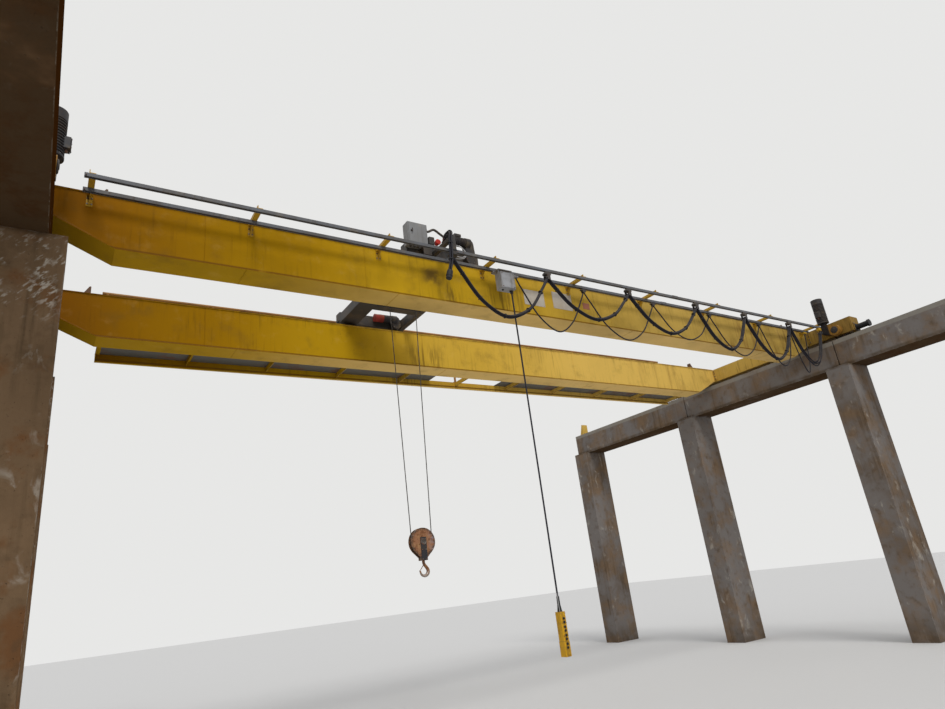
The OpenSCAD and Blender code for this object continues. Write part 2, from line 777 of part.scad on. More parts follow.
// Gear case in two halves with a flange between them, and its foot
module hoist_gearbox() {
    right = drum_left - 30 - seat;
    left = right - gearbox_w;
    small_d = motor_d + 50;
    rim = 24;
    color("olivedrab") {
        bar_yz(left, right) capsule([drum_y, drum_z], drum_flange_d, [motor_y, motor_z], small_d);
        bar_yz(left + gearbox_w / 2 - rim / 2, left + gearbox_w / 2 + rim / 2)
            capsule([drum_y, drum_z], drum_flange_d + rim, [motor_y, motor_z], small_d + rim);
        block([left, drum_y - 150, cross_beam_top], [right, drum_y + 150, drum_z - 130]);
        bar_x(motor_d / 2, left - 40, left, motor_y, motor_z);
        bar_x(drum_shaft_d + 60, left - 15, left, drum_y, drum_z);
    }
}

// Finned motor with its cowl, feet and terminal box
module hoist_motor() {
    left = drum_left - 30;
    cowl = 100;
    foot_w = 60;
    foot_half = 40;
    terminal_left = left + 150;
    terminal_l = 140;
    color("darkolivegreen") {
        bar_x(motor_d - 30, left, left + motor_length, motor_y, motor_z);
        for (x = [40:40:motor_length - cowl - 20]) bar_x(motor_d, left + x, left + x + 14, motor_y, motor_z);
        bar_x(motor_d, left + motor_length - cowl, left + motor_length, motor_y, motor_z);
        for (x = [left + cowl, left + motor_length - cowl - foot_w - 20])
            block([x, motor_y - foot_half, cross_beam_top],
                [x + foot_w, motor_y + foot_half, motor_z - motor_d / 2 + 20]);
        block([terminal_left, motor_y - 60, motor_z],
            [terminal_left + terminal_l, motor_y + 60, motor_z + motor_d / 2 + 55]);
    }
}

// Gear unit and motor of one trolley wheel, on the side frame's face that looks to the festoon
module trolley_drive(face_y, input_z) {
    x = crab_mid + crab_wheelbase / 2;
    back_y = face_y - seat;
    case_d = 170;
    case_t = 100;
    input_d = 130;
    barrel_d = 140;
    barrel_l = 240;
    cowl_l = 80;
    barrel_y = back_y - case_t + 20;
    left = x - input_d / 2 - 20;
    plate_xz(back_y - case_t, back_y) capsule([x, crab_wheel_z], case_d, [x, input_z], input_d);
    bar_x(barrel_d + 10, left, x, barrel_y, input_z);
    bar_x(barrel_d - 20, left - barrel_l, left, barrel_y, input_z);
    for (fin = [20:24:barrel_l]) bar_x(barrel_d, left - fin - 8, left - fin, barrel_y, input_z);
    bar_x(barrel_d - 4, left - barrel_l - cowl_l, left - barrel_l, barrel_y, input_z);
}

module crab_drive() {
    color("firebrick") {
        trolley_drive(-girder_y - side_frame_w / 2, side_frame_top + 120);
        trolley_drive(side_frame_in, side_frame_top - 60);
    }
}

// Sheet metal box with its door proud of the front
module electrical_box() {
    back_y = -girder_y - side_frame_w / 2 - seat;
    front_y = back_y - panel_depth;
    low_z = side_frame_z + 100;
    margin = 12;
    color("lightgray") {
        block([panel_left, front_y, low_z], [panel_left + panel_width, back_y, low_z + panel_height]);
        block([panel_left + margin, front_y - 8, low_z + margin],
            [panel_left + panel_width - margin, front_y, low_z + panel_height - margin]);
    }
}

// Arm that pulls the heavy cable along
module tow_arm() {
    root_y = -girder_y - side_frame_w / 2 - seat;
    drop_y = outer_track_y - track_size / 2 - 40;
    arm_z = side_frame_z + 10;
    foot_z = heavy_top_z + heavy_cable_d / 2 + seat;
    color(dark) {
        block([tow_x - 30, drop_y, arm_z], [tow_x + 30, root_y, arm_z + 50]);
        block([tow_x - 30, drop_y - 10, foot_z], [tow_x + 30, drop_y, arm_z + 50]);
        block([tow_x - 60, drop_y, foot_z], [tow_x + 60, outer_track_y + 40, foot_z + 12]);
    }
}

// One straight fall of rope, upright or leaning
module rope_fall(from, to) {
    rise = to - from;
    length = norm(rise);
    translate(from) rotate([0, acos(rise[2] / length), atan2(rise[1], rise[0])]) cylinder(d = rope_d, h = length);
}

module hoist_ropes() {
    color("dimgray") {
        rope_fall([rope_block_left, 0, block_z + 2 * seat], [rope_left_x, 0, drum_z]);
        rope_fall([rope_block_right, 0, block_z + 2 * seat], [rope_right_x, 0, anchor_z - seat]);
    }
}

// Pear shaped side plates, their straps, rope guards and the crosshead that carries the hook
module block_cheeks() {
    strap_half = 45;
    strap_t = 8;
    guard_d = 12;
    color("chocolate") {
        difference() {
            both_sides() {
                plate_xz(block_inside / 2, block_half)
                    capsule([crab_x, block_z], cheek_d, [crab_x, hook_seat_z + crosshead_h], 2 * strap_half);
                block([crab_x - strap_half, block_half, hook_seat_z],
                    [crab_x + strap_half, block_half + strap_t, block_z + 60]);
                block([crab_x - strap_half, block_inside / 2, hook_seat_z],
                    [crab_x + strap_half, block_half, hook_seat_z + crosshead_h]);
            }
            bar_y(block_pin_d + 2 * seat, crab_x, -block_half - 20, block_half + 20, block_z);
        }
        for (angle = [65, 90, 115]) translate([crab_x, 0, block_z])
            bar_y(guard_d, (cheek_d - guard_d) / 2 * cos(angle), -block_half, block_half,
                (cheek_d - guard_d - 2) / 2 * sin(angle));
    }
    color(dark) difference() {
        block([crab_x - strap_half, -block_inside / 2, hook_seat_z],
            [crab_x + strap_half, block_inside / 2, hook_seat_z + crosshead_h]);
        translate([crab_x, 0, hook_seat_z - 1]) cylinder(d = hook_shank_d + 2 * hook_play, h = crosshead_h + 2);
    }
}

// Grooved sheave on its pin, with the rope that lies under it
module block_sheave() {
    groove = rope_d + 2;
    color("gray") {
        difference() {
            bar_y(sheave_d + 2 * rope_d, crab_x, -groove, groove, block_z);
            translate([crab_x, 0, block_z]) rotate([90, 0, 0]) rotate_extrude() union() {
                translate([sheave_d / 2, 0]) circle(d = groove);
                translate([sheave_d / 2, -groove / 2]) square([2 * rope_d, groove]);
            }
        }
        bar_y(block_pin_d, crab_x, -block_half - 18, block_half + 18, block_z);
    }
    color("dimgray") translate([crab_x, 0, block_z]) rotate([90, 0, 0]) rotate([0, 0, 180])
        rotate_extrude(angle = 180) translate([sheave_d / 2, 0]) circle(d = rope_d, $fn = 24);
}

// Forged hook: a nut and shank, a bowl that swells and tapers to its tip, and a spring latch
module hook() {
    sides = 16;
    nut_h = 16;
    latch_t = 4;
    bowl_z = hook_seat_z - hook_height + bowl_r + hook_bar / 2 * bowl_swell;
    neck_z = bowl_z + bowl_r * hook_middles[1][1];
    route = [for (p = hook_middles) [p[0] * bowl_r, bowl_z + p[1] * bowl_r]];
    middles = route_middles(route);
    count = len(middles) - 1;
    rings = [for (i = [0:count]) cable_ring(middles, i, 0, hook_bar / 2 * hook_share(i / count), sides)];
    color("saddlebrown") translate([crab_x, 0, 0]) {
        swept(rings, sides);
        translate([0, 0, neck_z]) cylinder(d = hook_shank_d, h = hook_seat_z + crosshead_h + nut_h + 4 - neck_z);
        translate([0, 0, hook_seat_z + crosshead_h + seat]) cylinder(d = block_inside - 8, h = nut_h);
        plate_xz(-10, 10) polygon([[0, bowl_z + bowl_r * 1.5], [0, bowl_z + bowl_r * 1.5 - latch_t],
            [-bowl_r * 0.9, bowl_z + bowl_r * 0.3], [-bowl_r * 0.9 - latch_t, bowl_z + bowl_r * 0.3]]);
    }
}

// How thick the hook's bar is along it: 1 at the shank, most under the load and least at the tip
function hook_share(t) = t < 0.5 ? 0.8 + (bowl_swell - 0.8) * 2 * t : bowl_swell - (bowl_swell - 0.4) * (2 * t - 1);

// Carriage of the pendant in the inner rail, with its terminal box hung beside it
module pendant_trolley() {
    low = light_top_z + pendant_cable_d / 2 + seat;
    half_w = 26;
    shelf_t = 8;
    strap_w = 30;
    lid_t = 6;
    color("lightgray") {
        block([pendant_left, inner_track_y - half_w, low], [pendant_right, inner_track_y + half_w, carrier_top]);
        for (x = [pendant_left + 60, pendant_right - 60]) hanger(x, inner_track_y);
        block([pendant_left, pendant_y - 30, low], [terminal_right, inner_track_y - half_w, low + shelf_t]);
        for (x = [pendant_left + 10, terminal_right - 10 - strap_w])
            block([x, pendant_y - shelf_t / 2, terminal_top], [x + strap_w, pendant_y + shelf_t / 2, low]);
        block([pendant_left, pendant_y - terminal_depth / 2, terminal_bottom],
            [terminal_right, pendant_y + terminal_depth / 2, terminal_top]);
        block([pendant_left + 8, pendant_y - terminal_depth / 2 - lid_t, terminal_bottom + 8],
            [terminal_right - 8, pendant_y - terminal_depth / 2, terminal_top - 8]);
        translate([gland_x, pendant_y, gland_z + seat]) cylinder(d = pendant_cable_d + 14, h = gland_h - seat);
    }
}

// Hand control: a tall housing over a wider foot, pairs of push buttons and the cable's boot
module pendant_control() {
    front_y = pendant_y - control_t / 2;
    foot_h = control_h / 3;
    corner = 12;
    button_t = 9;
    button_gap = 40;
    pair_gap = 92;
    first_button = 99;
    ring_t = 3;
    color("gold") translate([control_x, pendant_y, control_z]) {
        linear_extrude(foot_h) rounded(control_w + 6, control_t + 6, corner);
        linear_extrude(control_h) rounded(control_w, control_t, corner);
    }
    color("black") {
        for (pair = [0:3], step = [0, 1]) {
            z = control_z + first_button + pair * pair_gap + step * button_gap;
            bar_y(button_d + 8, control_x, front_y - ring_t - 1, front_y + 1, z);
            bar_y(button_d, control_x, front_y - ring_t - button_t, front_y, z);
        }
        translate([control_x, pendant_y, control_z + control_h])
            cylinder(d1 = control_w - 20, d2 = pendant_cable_d + 12, h = boot_h);
    }
}

// Routes of the cables, points chosen by hand: along X, and down from the carriers or up from the floor
heavy_route = [[tow_x, 0], [-2150, -190], [-1870, -555], [-1490, -735], [-1070, -555], [-780, -190],
    [heavy_tops[0], 0], [-540, -145], [-240, -415], [180, -555], [600, -415], [890, -145],
    [heavy_tops[1], 0], [1130, -155], [1430, -440], [1840, -585], [2250, -440], [2550, -155],
    [heavy_tops[2], 0], [2770, -185], [3010, -530], [3360, -705], [3710, -530], [3950, -185],
    [heavy_tops[3], 0], [4150, -195], [4410, -565], [4780, -755], [5140, -565], [5390, -195],
    [heavy_tops[4], 0], [5570, -175], [5770, -525], [6050, -705], [6330, -525], [6520, -175], [heavy_end_x, 0]];
light_route = [[light_start_x, 0], [-930, -190], [-690, -565], [-360, -760], [-50, -565], [190, -190],
    [light_tops[0], 0], [410, -180], [690, -545], [1090, -730], [1480, -545], [1760, -180],
    [light_tops[1], 0], [2000, -140], [2260, -415], [2630, -550], [3000, -415], [3260, -140],
    [light_tops[2], 0], [3490, -170], [3760, -525], [4140, -700], [4520, -525], [4790, -170],
    [light_tops[3], 0], [4980, -200], [5160, -590], [5420, -790], [5690, -590], [5870, -200],
    [light_tops[4], 0], [5990, -210], [6090, -640], [6225, -860], [6360, -640], [6460, -210], [light_end_x, 0]];
drop_route = [[gland_x, gland_z], [-1246, 5200], [-1243, 4500], [-1241, 3500], [-1240, 2500],
    [control_x, control_top]];

// Point of a smooth curve through the route, between points i and i + 1
function route_point(route, i, t) =
    let (last = len(route) - 1, a = route[max(i - 1, 0)], b = route[i], c = route[min(i + 1, last)],
        d = route[min(i + 2, last)])
    0.5 * (2 * b + (c - a) * t + (2 * a - 5 * b + 4 * c - d) * t * t + (3 * b - a - 3 * c + d) * t * t * t);

// Middles of the rings along a route, two to each pair of points
function route_middles(route) = [for (i = [0:len(route) - 2]) for (t = [0, 0.5]) route_point(route, i, t),
    route[len(route) - 1]];

// One ring around a middle, square to the way the cable runs
function cable_ring(middles, i, y, radius, sides) =
    let (ahead = middles[min(i + 1, len(middles) - 1)] - middles[max(i - 1, 0)], way = ahead / norm(ahead))
    [for (s = [0:sides - 1]) let (turn = 360 * s / sides, across = radius * cos(turn))
        [middles[i][0] - way[1] * across, y + radius * sin(turn), middles[i][1] + way[0] * across]];

// A closed skin over rings of points
module swept(rings, sides) {
    walls = [for (i = [0:len(rings) - 2]) for (s = [0:sides - 1])
        let (n = (s + 1) % sides) [i * sides + s, i * sides + n, (i + 1) * sides + n, (i + 1) * sides + s]];
    first = [for (s = [0:sides - 1]) sides - 1 - s];
    last = [for (s = [0:sides - 1]) (len(rings) - 1) * sides + s];
    polyhedron(points = [for (ring = rings) each ring], faces = concat(walls, [first], [last]), convexity = 10);
}

// A cable swept along its route in the plane at y, its heights counted from z
module cable(route, y, z, diameter) {
    sides = 8;
    middles = route_middles(route);
    translate([0, 0, z])
        swept([for (i = [0:len(middles) - 1]) cable_ring(middles, i, y, diameter / 2, sides)], sides);
}

module heavy_festoon_cable() color("black") cable(heavy_route, outer_track_y, heavy_top_z, heavy_cable_d);

module pendant_festoon_cable() color("black") cable(light_route, inner_track_y, light_top_z, pendant_cable_d);

module pendant_cable() color("black") cable(drop_route, pendant_y, 0, pendant_cable_d);

runway_columns();
runway_beams();
crane_rails();
runway_end_stops();
front_girder();
back_girder();
trolley_rails();
left_end_carriage();
right_end_carriage();
bridge_wheels();
bridge_buffers();
bridge_drives();
walkway_floor();
walkway_frame();
walkway_handrail();
festoon_rails();
festoon_brackets();
crab_frame();
crab_wheels();
hoist_drum();
hoist_gearbox();
hoist_motor();
crab_drive();
electrical_box();
tow_arm();
hoist_ropes();
block_cheeks();
block_sheave();
hook();
pendant_trolley();
pendant_cable();
pendant_control();
heavy_festoon_cable();
pendant_festoon_cable();
heavy_carrier(0);  // heavy_carrier_1
heavy_carrier(1);  // heavy_carrier_2
heavy_carrier(2);  // heavy_carrier_3
heavy_carrier(3);  // heavy_carrier_4
heavy_carrier(4);  // heavy_carrier_5
light_carrier(0);  // light_carrier_1
light_carrier(1);  // light_carrier_2
light_carrier(2);  // light_carrier_3
light_carrier(3);  // light_carrier_4
light_carrier(4);  // light_carrier_5
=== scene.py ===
"""Overhead bridge crane on its concrete runway, dressed for rendering."""
import itertools
import math

import bpy
from mathutils import Matrix, Vector


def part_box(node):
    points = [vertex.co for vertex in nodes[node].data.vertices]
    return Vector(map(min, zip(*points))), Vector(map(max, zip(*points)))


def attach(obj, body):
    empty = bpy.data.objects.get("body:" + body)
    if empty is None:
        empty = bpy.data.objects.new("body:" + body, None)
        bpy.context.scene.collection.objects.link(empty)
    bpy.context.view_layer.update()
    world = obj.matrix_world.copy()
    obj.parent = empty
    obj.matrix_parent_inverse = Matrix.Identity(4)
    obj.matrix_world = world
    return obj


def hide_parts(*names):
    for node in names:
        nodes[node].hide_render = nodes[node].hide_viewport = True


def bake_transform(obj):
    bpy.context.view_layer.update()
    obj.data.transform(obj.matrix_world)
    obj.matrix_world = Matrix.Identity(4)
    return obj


# The photograph's width, and the focal length worked out from the crane's lines, in pixels
PHOTO_WIDTH = 945
FOCAL_PIXELS = 642.5
CAMERA_PLACE = Vector((-6.509, -8.092, 1.803))
CAMERA_HEADING = math.radians(34.8)
CAMERA_PITCH = math.radians(19.8)
CAMERA_ROLL = math.radians(-6.99)
# The camera stands between two column lines, and sees what lies farther off than the first of them
CAMERA_NEAR = 3.3

# Diameters of the cables and the rope, and where a bundle's strands lie: sideways and up from its middle
HEAVY_BUNDLE = 0.070
HEAVY_STRAND = 0.024
HEAVY_STRANDS = [(-0.023, 0.0), (-0.001, -0.018), (0.022, 0.006), (0.001, 0.016)]
LIGHT_CABLE = 0.022
ROPE = 0.013
# How much farther apart the strands of the last heavy loop hang than in a bundle
LOOSE_DROOP = 2.5

# Places on the crane that several pieces share, as in the part's source
CRANE_RAIL_X = 6.995
GIRDER_Y = 1.2235
BRIDGE_WHEEL_Z = 5.880
HOOK_X = -2.110
SHEAVE_Z = 2.470
ROPE_LEFT_X = -2.330
DRUM_Y, DRUM_Z = -0.1665, 6.540
MOTOR_Y, MOTOR_Z = 0.4335, 6.560
CRAB_TOP = 6.320
CRAB_AXLE_Z = 6.220
CRAB_FACE_Y = -1.3035
TOW_X = -2.270
CONTROL_X = -1.240

# Heights of the festoon cables at their carriers, as in the part's source
HEAVY_TOP = 5.905
LIGHT_TOP = 5.950
# Their routes are pairs of a place along X and how far the cable sags there. The drop's are along X and Z
HEAVY_ROUTE = [(-2.270, 0), (-2.150, -0.190), (-1.870, -0.555), (-1.490, -0.735), (-1.070, -0.555),
               (-0.780, -0.190), (-0.660, 0), (-0.540, -0.145), (-0.240, -0.415), (0.180, -0.555),
               (0.600, -0.415), (0.890, -0.145), (1.010, 0), (1.130, -0.155), (1.430, -0.440),
               (1.840, -0.585), (2.250, -0.440), (2.550, -0.155), (2.670, 0), (2.770, -0.185),
               (3.010, -0.530), (3.360, -0.705), (3.710, -0.530), (3.950, -0.185), (4.050, 0),
               (4.150, -0.195), (4.410, -0.565), (4.780, -0.755), (5.140, -0.565), (5.390, -0.195),
               (5.490, 0), (5.570, -0.175), (5.770, -0.525), (6.050, -0.705), (6.330, -0.525),
               (6.520, -0.175), (6.600, 0)]
LIGHT_ROUTE = [(-1.030, 0), (-0.930, -0.190), (-0.690, -0.565), (-0.360, -0.760), (-0.050, -0.565),
               (0.190, -0.190), (0.290, 0), (0.410, -0.180), (0.690, -0.545), (1.090, -0.730),
               (1.480, -0.545), (1.760, -0.180), (1.880, 0), (2.000, -0.140), (2.260, -0.415),
               (2.630, -0.550), (3.000, -0.415), (3.260, -0.140), (3.380, 0), (3.490, -0.170),
               (3.760, -0.525), (4.140, -0.700), (4.520, -0.525), (4.790, -0.170), (4.900, 0),
               (4.980, -0.200), (5.160, -0.590), (5.420, -0.790), (5.690, -0.590), (5.870, -0.200),
               (5.950, 0), (5.990, -0.210), (6.090, -0.640), (6.225, -0.860), (6.360, -0.640),
               (6.460, -0.210), (6.500, 0)]
DROP_ROUTE = [(-1.245, 5.620), (-1.246, 5.200), (-1.243, 4.500), (-1.241, 3.500), (-1.240, 2.500),
              (-1.240, 1.505)]
POINTS_PER_LOOP = 6

# Colours. A girder's light and shade tones are pairs of a place along X and a colour: darker towards the left
# end and on the near girder as painted shade, brighter and sandier to the right as painted light
NEAR_LIGHT_SHADE_TONES = ((-6.8, (0.28, 0.105, 0.001)), (-4.5, (0.38, 0.200, 0.002)), (-2.4, (0.60, 0.355, 0.012)),
              (2.5, (0.53, 0.345, 0.075)))
FAR_LIGHT_SHADE_TONES = ((-6.8, (0.19, 0.070, 0.001)), (-5.0, (0.30, 0.145, 0.001)), (-2.8, (0.46, 0.265, 0.006)),
             (-0.5, (0.62, 0.385, 0.045)), (3.0, (0.69, 0.450, 0.100)))
SAND = (0.82, 0.56, 0.21)
UNDERSIDE_LIGHT_AMBER = (0.48, 0.28, 0.006)
SHADED_CONCRETE = (0.170, 0.108, 0.060)
GRAY_CONCRETE = (0.190, 0.170, 0.155)
SOOT_AND_SHADE_BROWN = (0.044, 0.015, 0.003)
BRICK = (0.155, 0.066, 0.024)
LIME = (0.56, 0.52, 0.44)
SOOT = (0.075, 0.050, 0.028)
GRIME = (0.050, 0.029, 0.007)
GREASE = (0.030, 0.020, 0.012)
RUST = (0.140, 0.048, 0.015)
DUST = (0.37, 0.31, 0.22)
BARE_STEEL = (0.42, 0.40, 0.37)
DARK_PAINT = (0.045, 0.042, 0.040)

X = Vector((1, 0, 0))
Y = Vector((0, 1, 0))
UP = Vector((0, 0, 1))

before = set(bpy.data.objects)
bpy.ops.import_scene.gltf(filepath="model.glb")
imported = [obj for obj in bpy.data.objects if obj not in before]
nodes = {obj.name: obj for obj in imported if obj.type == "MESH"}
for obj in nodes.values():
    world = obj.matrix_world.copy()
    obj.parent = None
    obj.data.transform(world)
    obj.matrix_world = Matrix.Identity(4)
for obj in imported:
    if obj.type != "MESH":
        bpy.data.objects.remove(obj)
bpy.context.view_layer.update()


def box(node):
    """Lowest and highest corner of a node."""
    low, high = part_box(node)
    return Vector(low), Vector(high)


def middle(node):
    """Middle of a node's box."""
    low, high = box(node)
    return (low + high) / 2


def pair(centre, half):
    """Two places, as far to either side of a centre."""
    return (centre - half, centre + half)


def turns(count, offset=0):
    """Angles that share out a whole turn, the first after so much of a share."""
    return [2 * math.pi * (k + offset) / count for k in range(count)]


def around(centre, radius, angle, plane=(Y, UP)):
    """A point on a circle, at an angle from the first direction of its plane."""
    return Vector(centre) + plane[0] * (radius * math.cos(angle)) + plane[1] * (radius * math.sin(angle))


# Camera


def photo_camera():
    """The camera that took the photograph."""
    forward = Vector((math.sin(CAMERA_HEADING) * math.cos(CAMERA_PITCH),
                      math.cos(CAMERA_HEADING) * math.cos(CAMERA_PITCH), math.sin(CAMERA_PITCH)))
    level = Vector((math.cos(CAMERA_HEADING), -math.sin(CAMERA_HEADING), 0))
    lift = level.cross(forward)
    right = level * math.cos(CAMERA_ROLL) + lift * math.sin(CAMERA_ROLL)
    top = lift * math.cos(CAMERA_ROLL) - level * math.sin(CAMERA_ROLL)
    data = bpy.data.cameras.new("photo_camera")
    data.sensor_width = 36
    data.lens = data.sensor_width * FOCAL_PIXELS / PHOTO_WIDTH
    data.clip_start = CAMERA_NEAR
    data.clip_end = 200
    camera = bpy.data.objects.new("photo_camera", data)
    bpy.context.scene.collection.objects.link(camera)
    turn = Matrix((right, top, -forward)).transposed().to_4x4()
    camera.matrix_world = Matrix.Translation(CAMERA_PLACE) @ turn
    bpy.context.scene.camera = camera


photo_camera()


# Materials


def tint(colour, factor):
    """A colour made darker or lighter."""
    return tuple(min(c * factor, 1.0) for c in colour)


class Look:
    """Builds the nodes of one material. Lengths are metres in the part's own frame."""

    def __init__(self, name, colour, rough=0.6, metal=0.0, round_edge=0.004, gloss=0.5):
        self.material = bpy.data.materials.new(name)
        self.material.use_nodes = True
        self.tree = self.material.node_tree
        self.shader = self.tree.nodes["Principled BSDF"]
        self.shader.inputs["Specular IOR Level"].default_value = gloss
        self.place = self.node("ShaderNodeTexCoord").outputs["Object"]
        self.x, self.y, self.z = self.node("ShaderNodeSeparateXYZ", self.place).outputs
        self.normal = self.node("ShaderNodeNewGeometry").outputs["Normal"]
        self.up = self.node("ShaderNodeSeparateXYZ", self.normal).outputs[2]
        rounding = self.node("ShaderNodeBevel", round_edge, samples=4)
        self.rounded = rounding.outputs["Normal"]
        self.colour = colour
        self.rough = rough
        self.metal = metal
        self.height = None

    def feed(self, socket, value):
        """Links a socket to another, or sets its number or colour."""
        if isinstance(value, bpy.types.NodeSocket):
            self.tree.links.new(value, socket)
        elif isinstance(value, tuple) and len(value) == 3 and len(socket.default_value) == 4:
            socket.default_value = (*value, 1)
        else:
            socket.default_value = value

    def node(self, kind, *values, **settings):
        """A node with its settings, its first inputs fed in order."""
        node = self.tree.nodes.new(kind)
        for name, setting in settings.items():
            setattr(node, name, setting)
        for socket, value in zip(node.inputs, values):
            self.feed(socket, value)
        return node

    def calc(self, operation, *values):
        """Arithmetic on sockets and numbers."""
        return self.node("ShaderNodeMath", *values, operation=operation).outputs[0]

    def product(self, first, *others):
        """All the shares multiplied."""
        for other in others:
            first = self.calc("MULTIPLY", first, other)
        return first

    def band(self, value, low, high):
        """From 0 at low to 1 at high, smoothly."""
        node = self.node("ShaderNodeMapRange", value, low, high, interpolation_type="SMOOTHSTEP")
        return node.outputs[0]

    def near(self, value, place, half, blur):
        """1 where a value lies within half of a place, fading out over blur."""
        off = self.calc("ABSOLUTE", self.calc("SUBTRACT", value, place))
        return self.band(off, half + blur, half)

    def noise(self, size, detail=4.0, stretch=(1, 1, 1), warp=0.0, lean=0.0):
        """Clouds about size across, drawn out along an axis by stretch, leaning over in the XZ plane."""
        place = self.place
        if lean:
            turned = self.node("ShaderNodeVectorRotate", place, rotation_type="Y_AXIS")
            turned.inputs["Angle"].default_value = lean
            place = turned.outputs[0]
        squeeze = tuple(1 / s for s in stretch)
        place = self.node("ShaderNodeVectorMath", place, squeeze, operation="MULTIPLY").outputs[0]
        node = self.node("ShaderNodeTexNoise", place)
        settings = {"Scale": 1 / size, "Detail": detail, "Roughness": 0.6, "Distortion": warp}
        for name, value in settings.items():
            node.inputs[name].default_value = value
        return node.outputs[0]

    def cloud(self, size, low, high, amount=1.0, **how):
        """Patches of noise, from 0 where it is low to amount where it is high."""
        return self.calc("MULTIPLY", self.band(self.noise(size, **how), low, high), amount)

    def mix(self, share, first, second):
        """A colour between two."""
        node = self.node("ShaderNodeMix", data_type="RGBA")
        self.feed(node.inputs[0], share)
        self.feed(node.inputs[6], first)
        self.feed(node.inputs[7], second)
        return node.outputs[2]

    def between(self, share, first, second):
        """A number between two."""
        node = self.node("ShaderNodeMix", data_type="FLOAT")
        for socket, value in zip((node.inputs[0], node.inputs[2], node.inputs[3]), (share, first, second)):
            self.feed(socket, value)
        return node.outputs[0]

    def coat(self, colour, *shares, rough=None, metal=None):
        """Another colour over what is there, where the product of the shares is 1."""
        share = self.product(*shares)
        self.colour = self.mix(share, self.colour, colour)
        if rough is not None:
            self.rough = self.between(share, self.rough, rough)
        if metal is not None:
            self.metal = self.between(share, self.metal, metal)

    def raise_by(self, value, metres):
        """Adds a value times so many metres to the surface's fine relief."""
        more = self.calc("MULTIPLY", value, metres)
        self.height = more if self.height is None else self.calc("ADD", self.height, more)

    def edges(self):
        """1 along outer edges."""
        same = self.node("ShaderNodeVectorMath", self.rounded, self.normal, operation="DOT_PRODUCT")
        return self.band(same.outputs["Value"], 0.985, 0.82)

    def upright(self):
        """1 on faces that stand upright."""
        return self.band(self.calc("ABSOLUTE", self.up), 0.6, 0.2)

    def underside(self):
        """1 on faces that look down."""
        return self.band(self.up, -0.5, -0.9)

    def age(self, fade=0.5, runs=0.5, dust=0.5, rust=0.5, wear=0.5):
        """What old paint gathers: faded patches, dirt runs, dust, rust specks and worn edges."""
        self.coat(GRIME, self.cloud(0.85, 0.48, 0.80, fade * 0.45))
        self.coat(SAND, self.cloud(0.21, 0.54, 0.80, fade * 0.30))
        streaks = self.cloud(0.045, 0.50, 0.74, runs, stretch=(1, 1, 18))
        self.coat(GRIME, streaks, self.upright(), self.cloud(0.7, 0.40, 0.62), rough=0.8)
        self.coat(DUST, self.band(self.up, 0.4, 0.9), self.cloud(0.25, 0.22, 0.60, dust), rough=0.95)
        specks = self.cloud(0.022, 0.63, 0.70, rust, detail=6)
        self.coat(RUST, specks, self.cloud(0.6, 0.42, 0.60), rough=0.9)
        self.coat(RUST, self.edges(), self.cloud(0.06, 0.40, 0.62, wear), rough=0.9)
        self.raise_by(self.noise(0.006), 0.00012)
        self.raise_by(self.noise(0.30, detail=2.0), 0.0010)
        self.raise_by(specks, -0.0005)

    def done(self):
        """The material, with what was gathered linked to its shader."""
        self.feed(self.shader.inputs["Base Color"], self.colour)
        self.feed(self.shader.inputs["Roughness"], self.rough)
        self.feed(self.shader.inputs["Metallic"], self.metal)
        bump = self.node("ShaderNodeBump")
        bump.inputs["Distance"].default_value = 1.0
        if self.height is not None:
            self.feed(bump.inputs["Height"], self.height)
        self.feed(bump.inputs["Normal"], self.rounded)
        self.feed(self.shader.inputs["Normal"], bump.outputs[0])
        return self.material


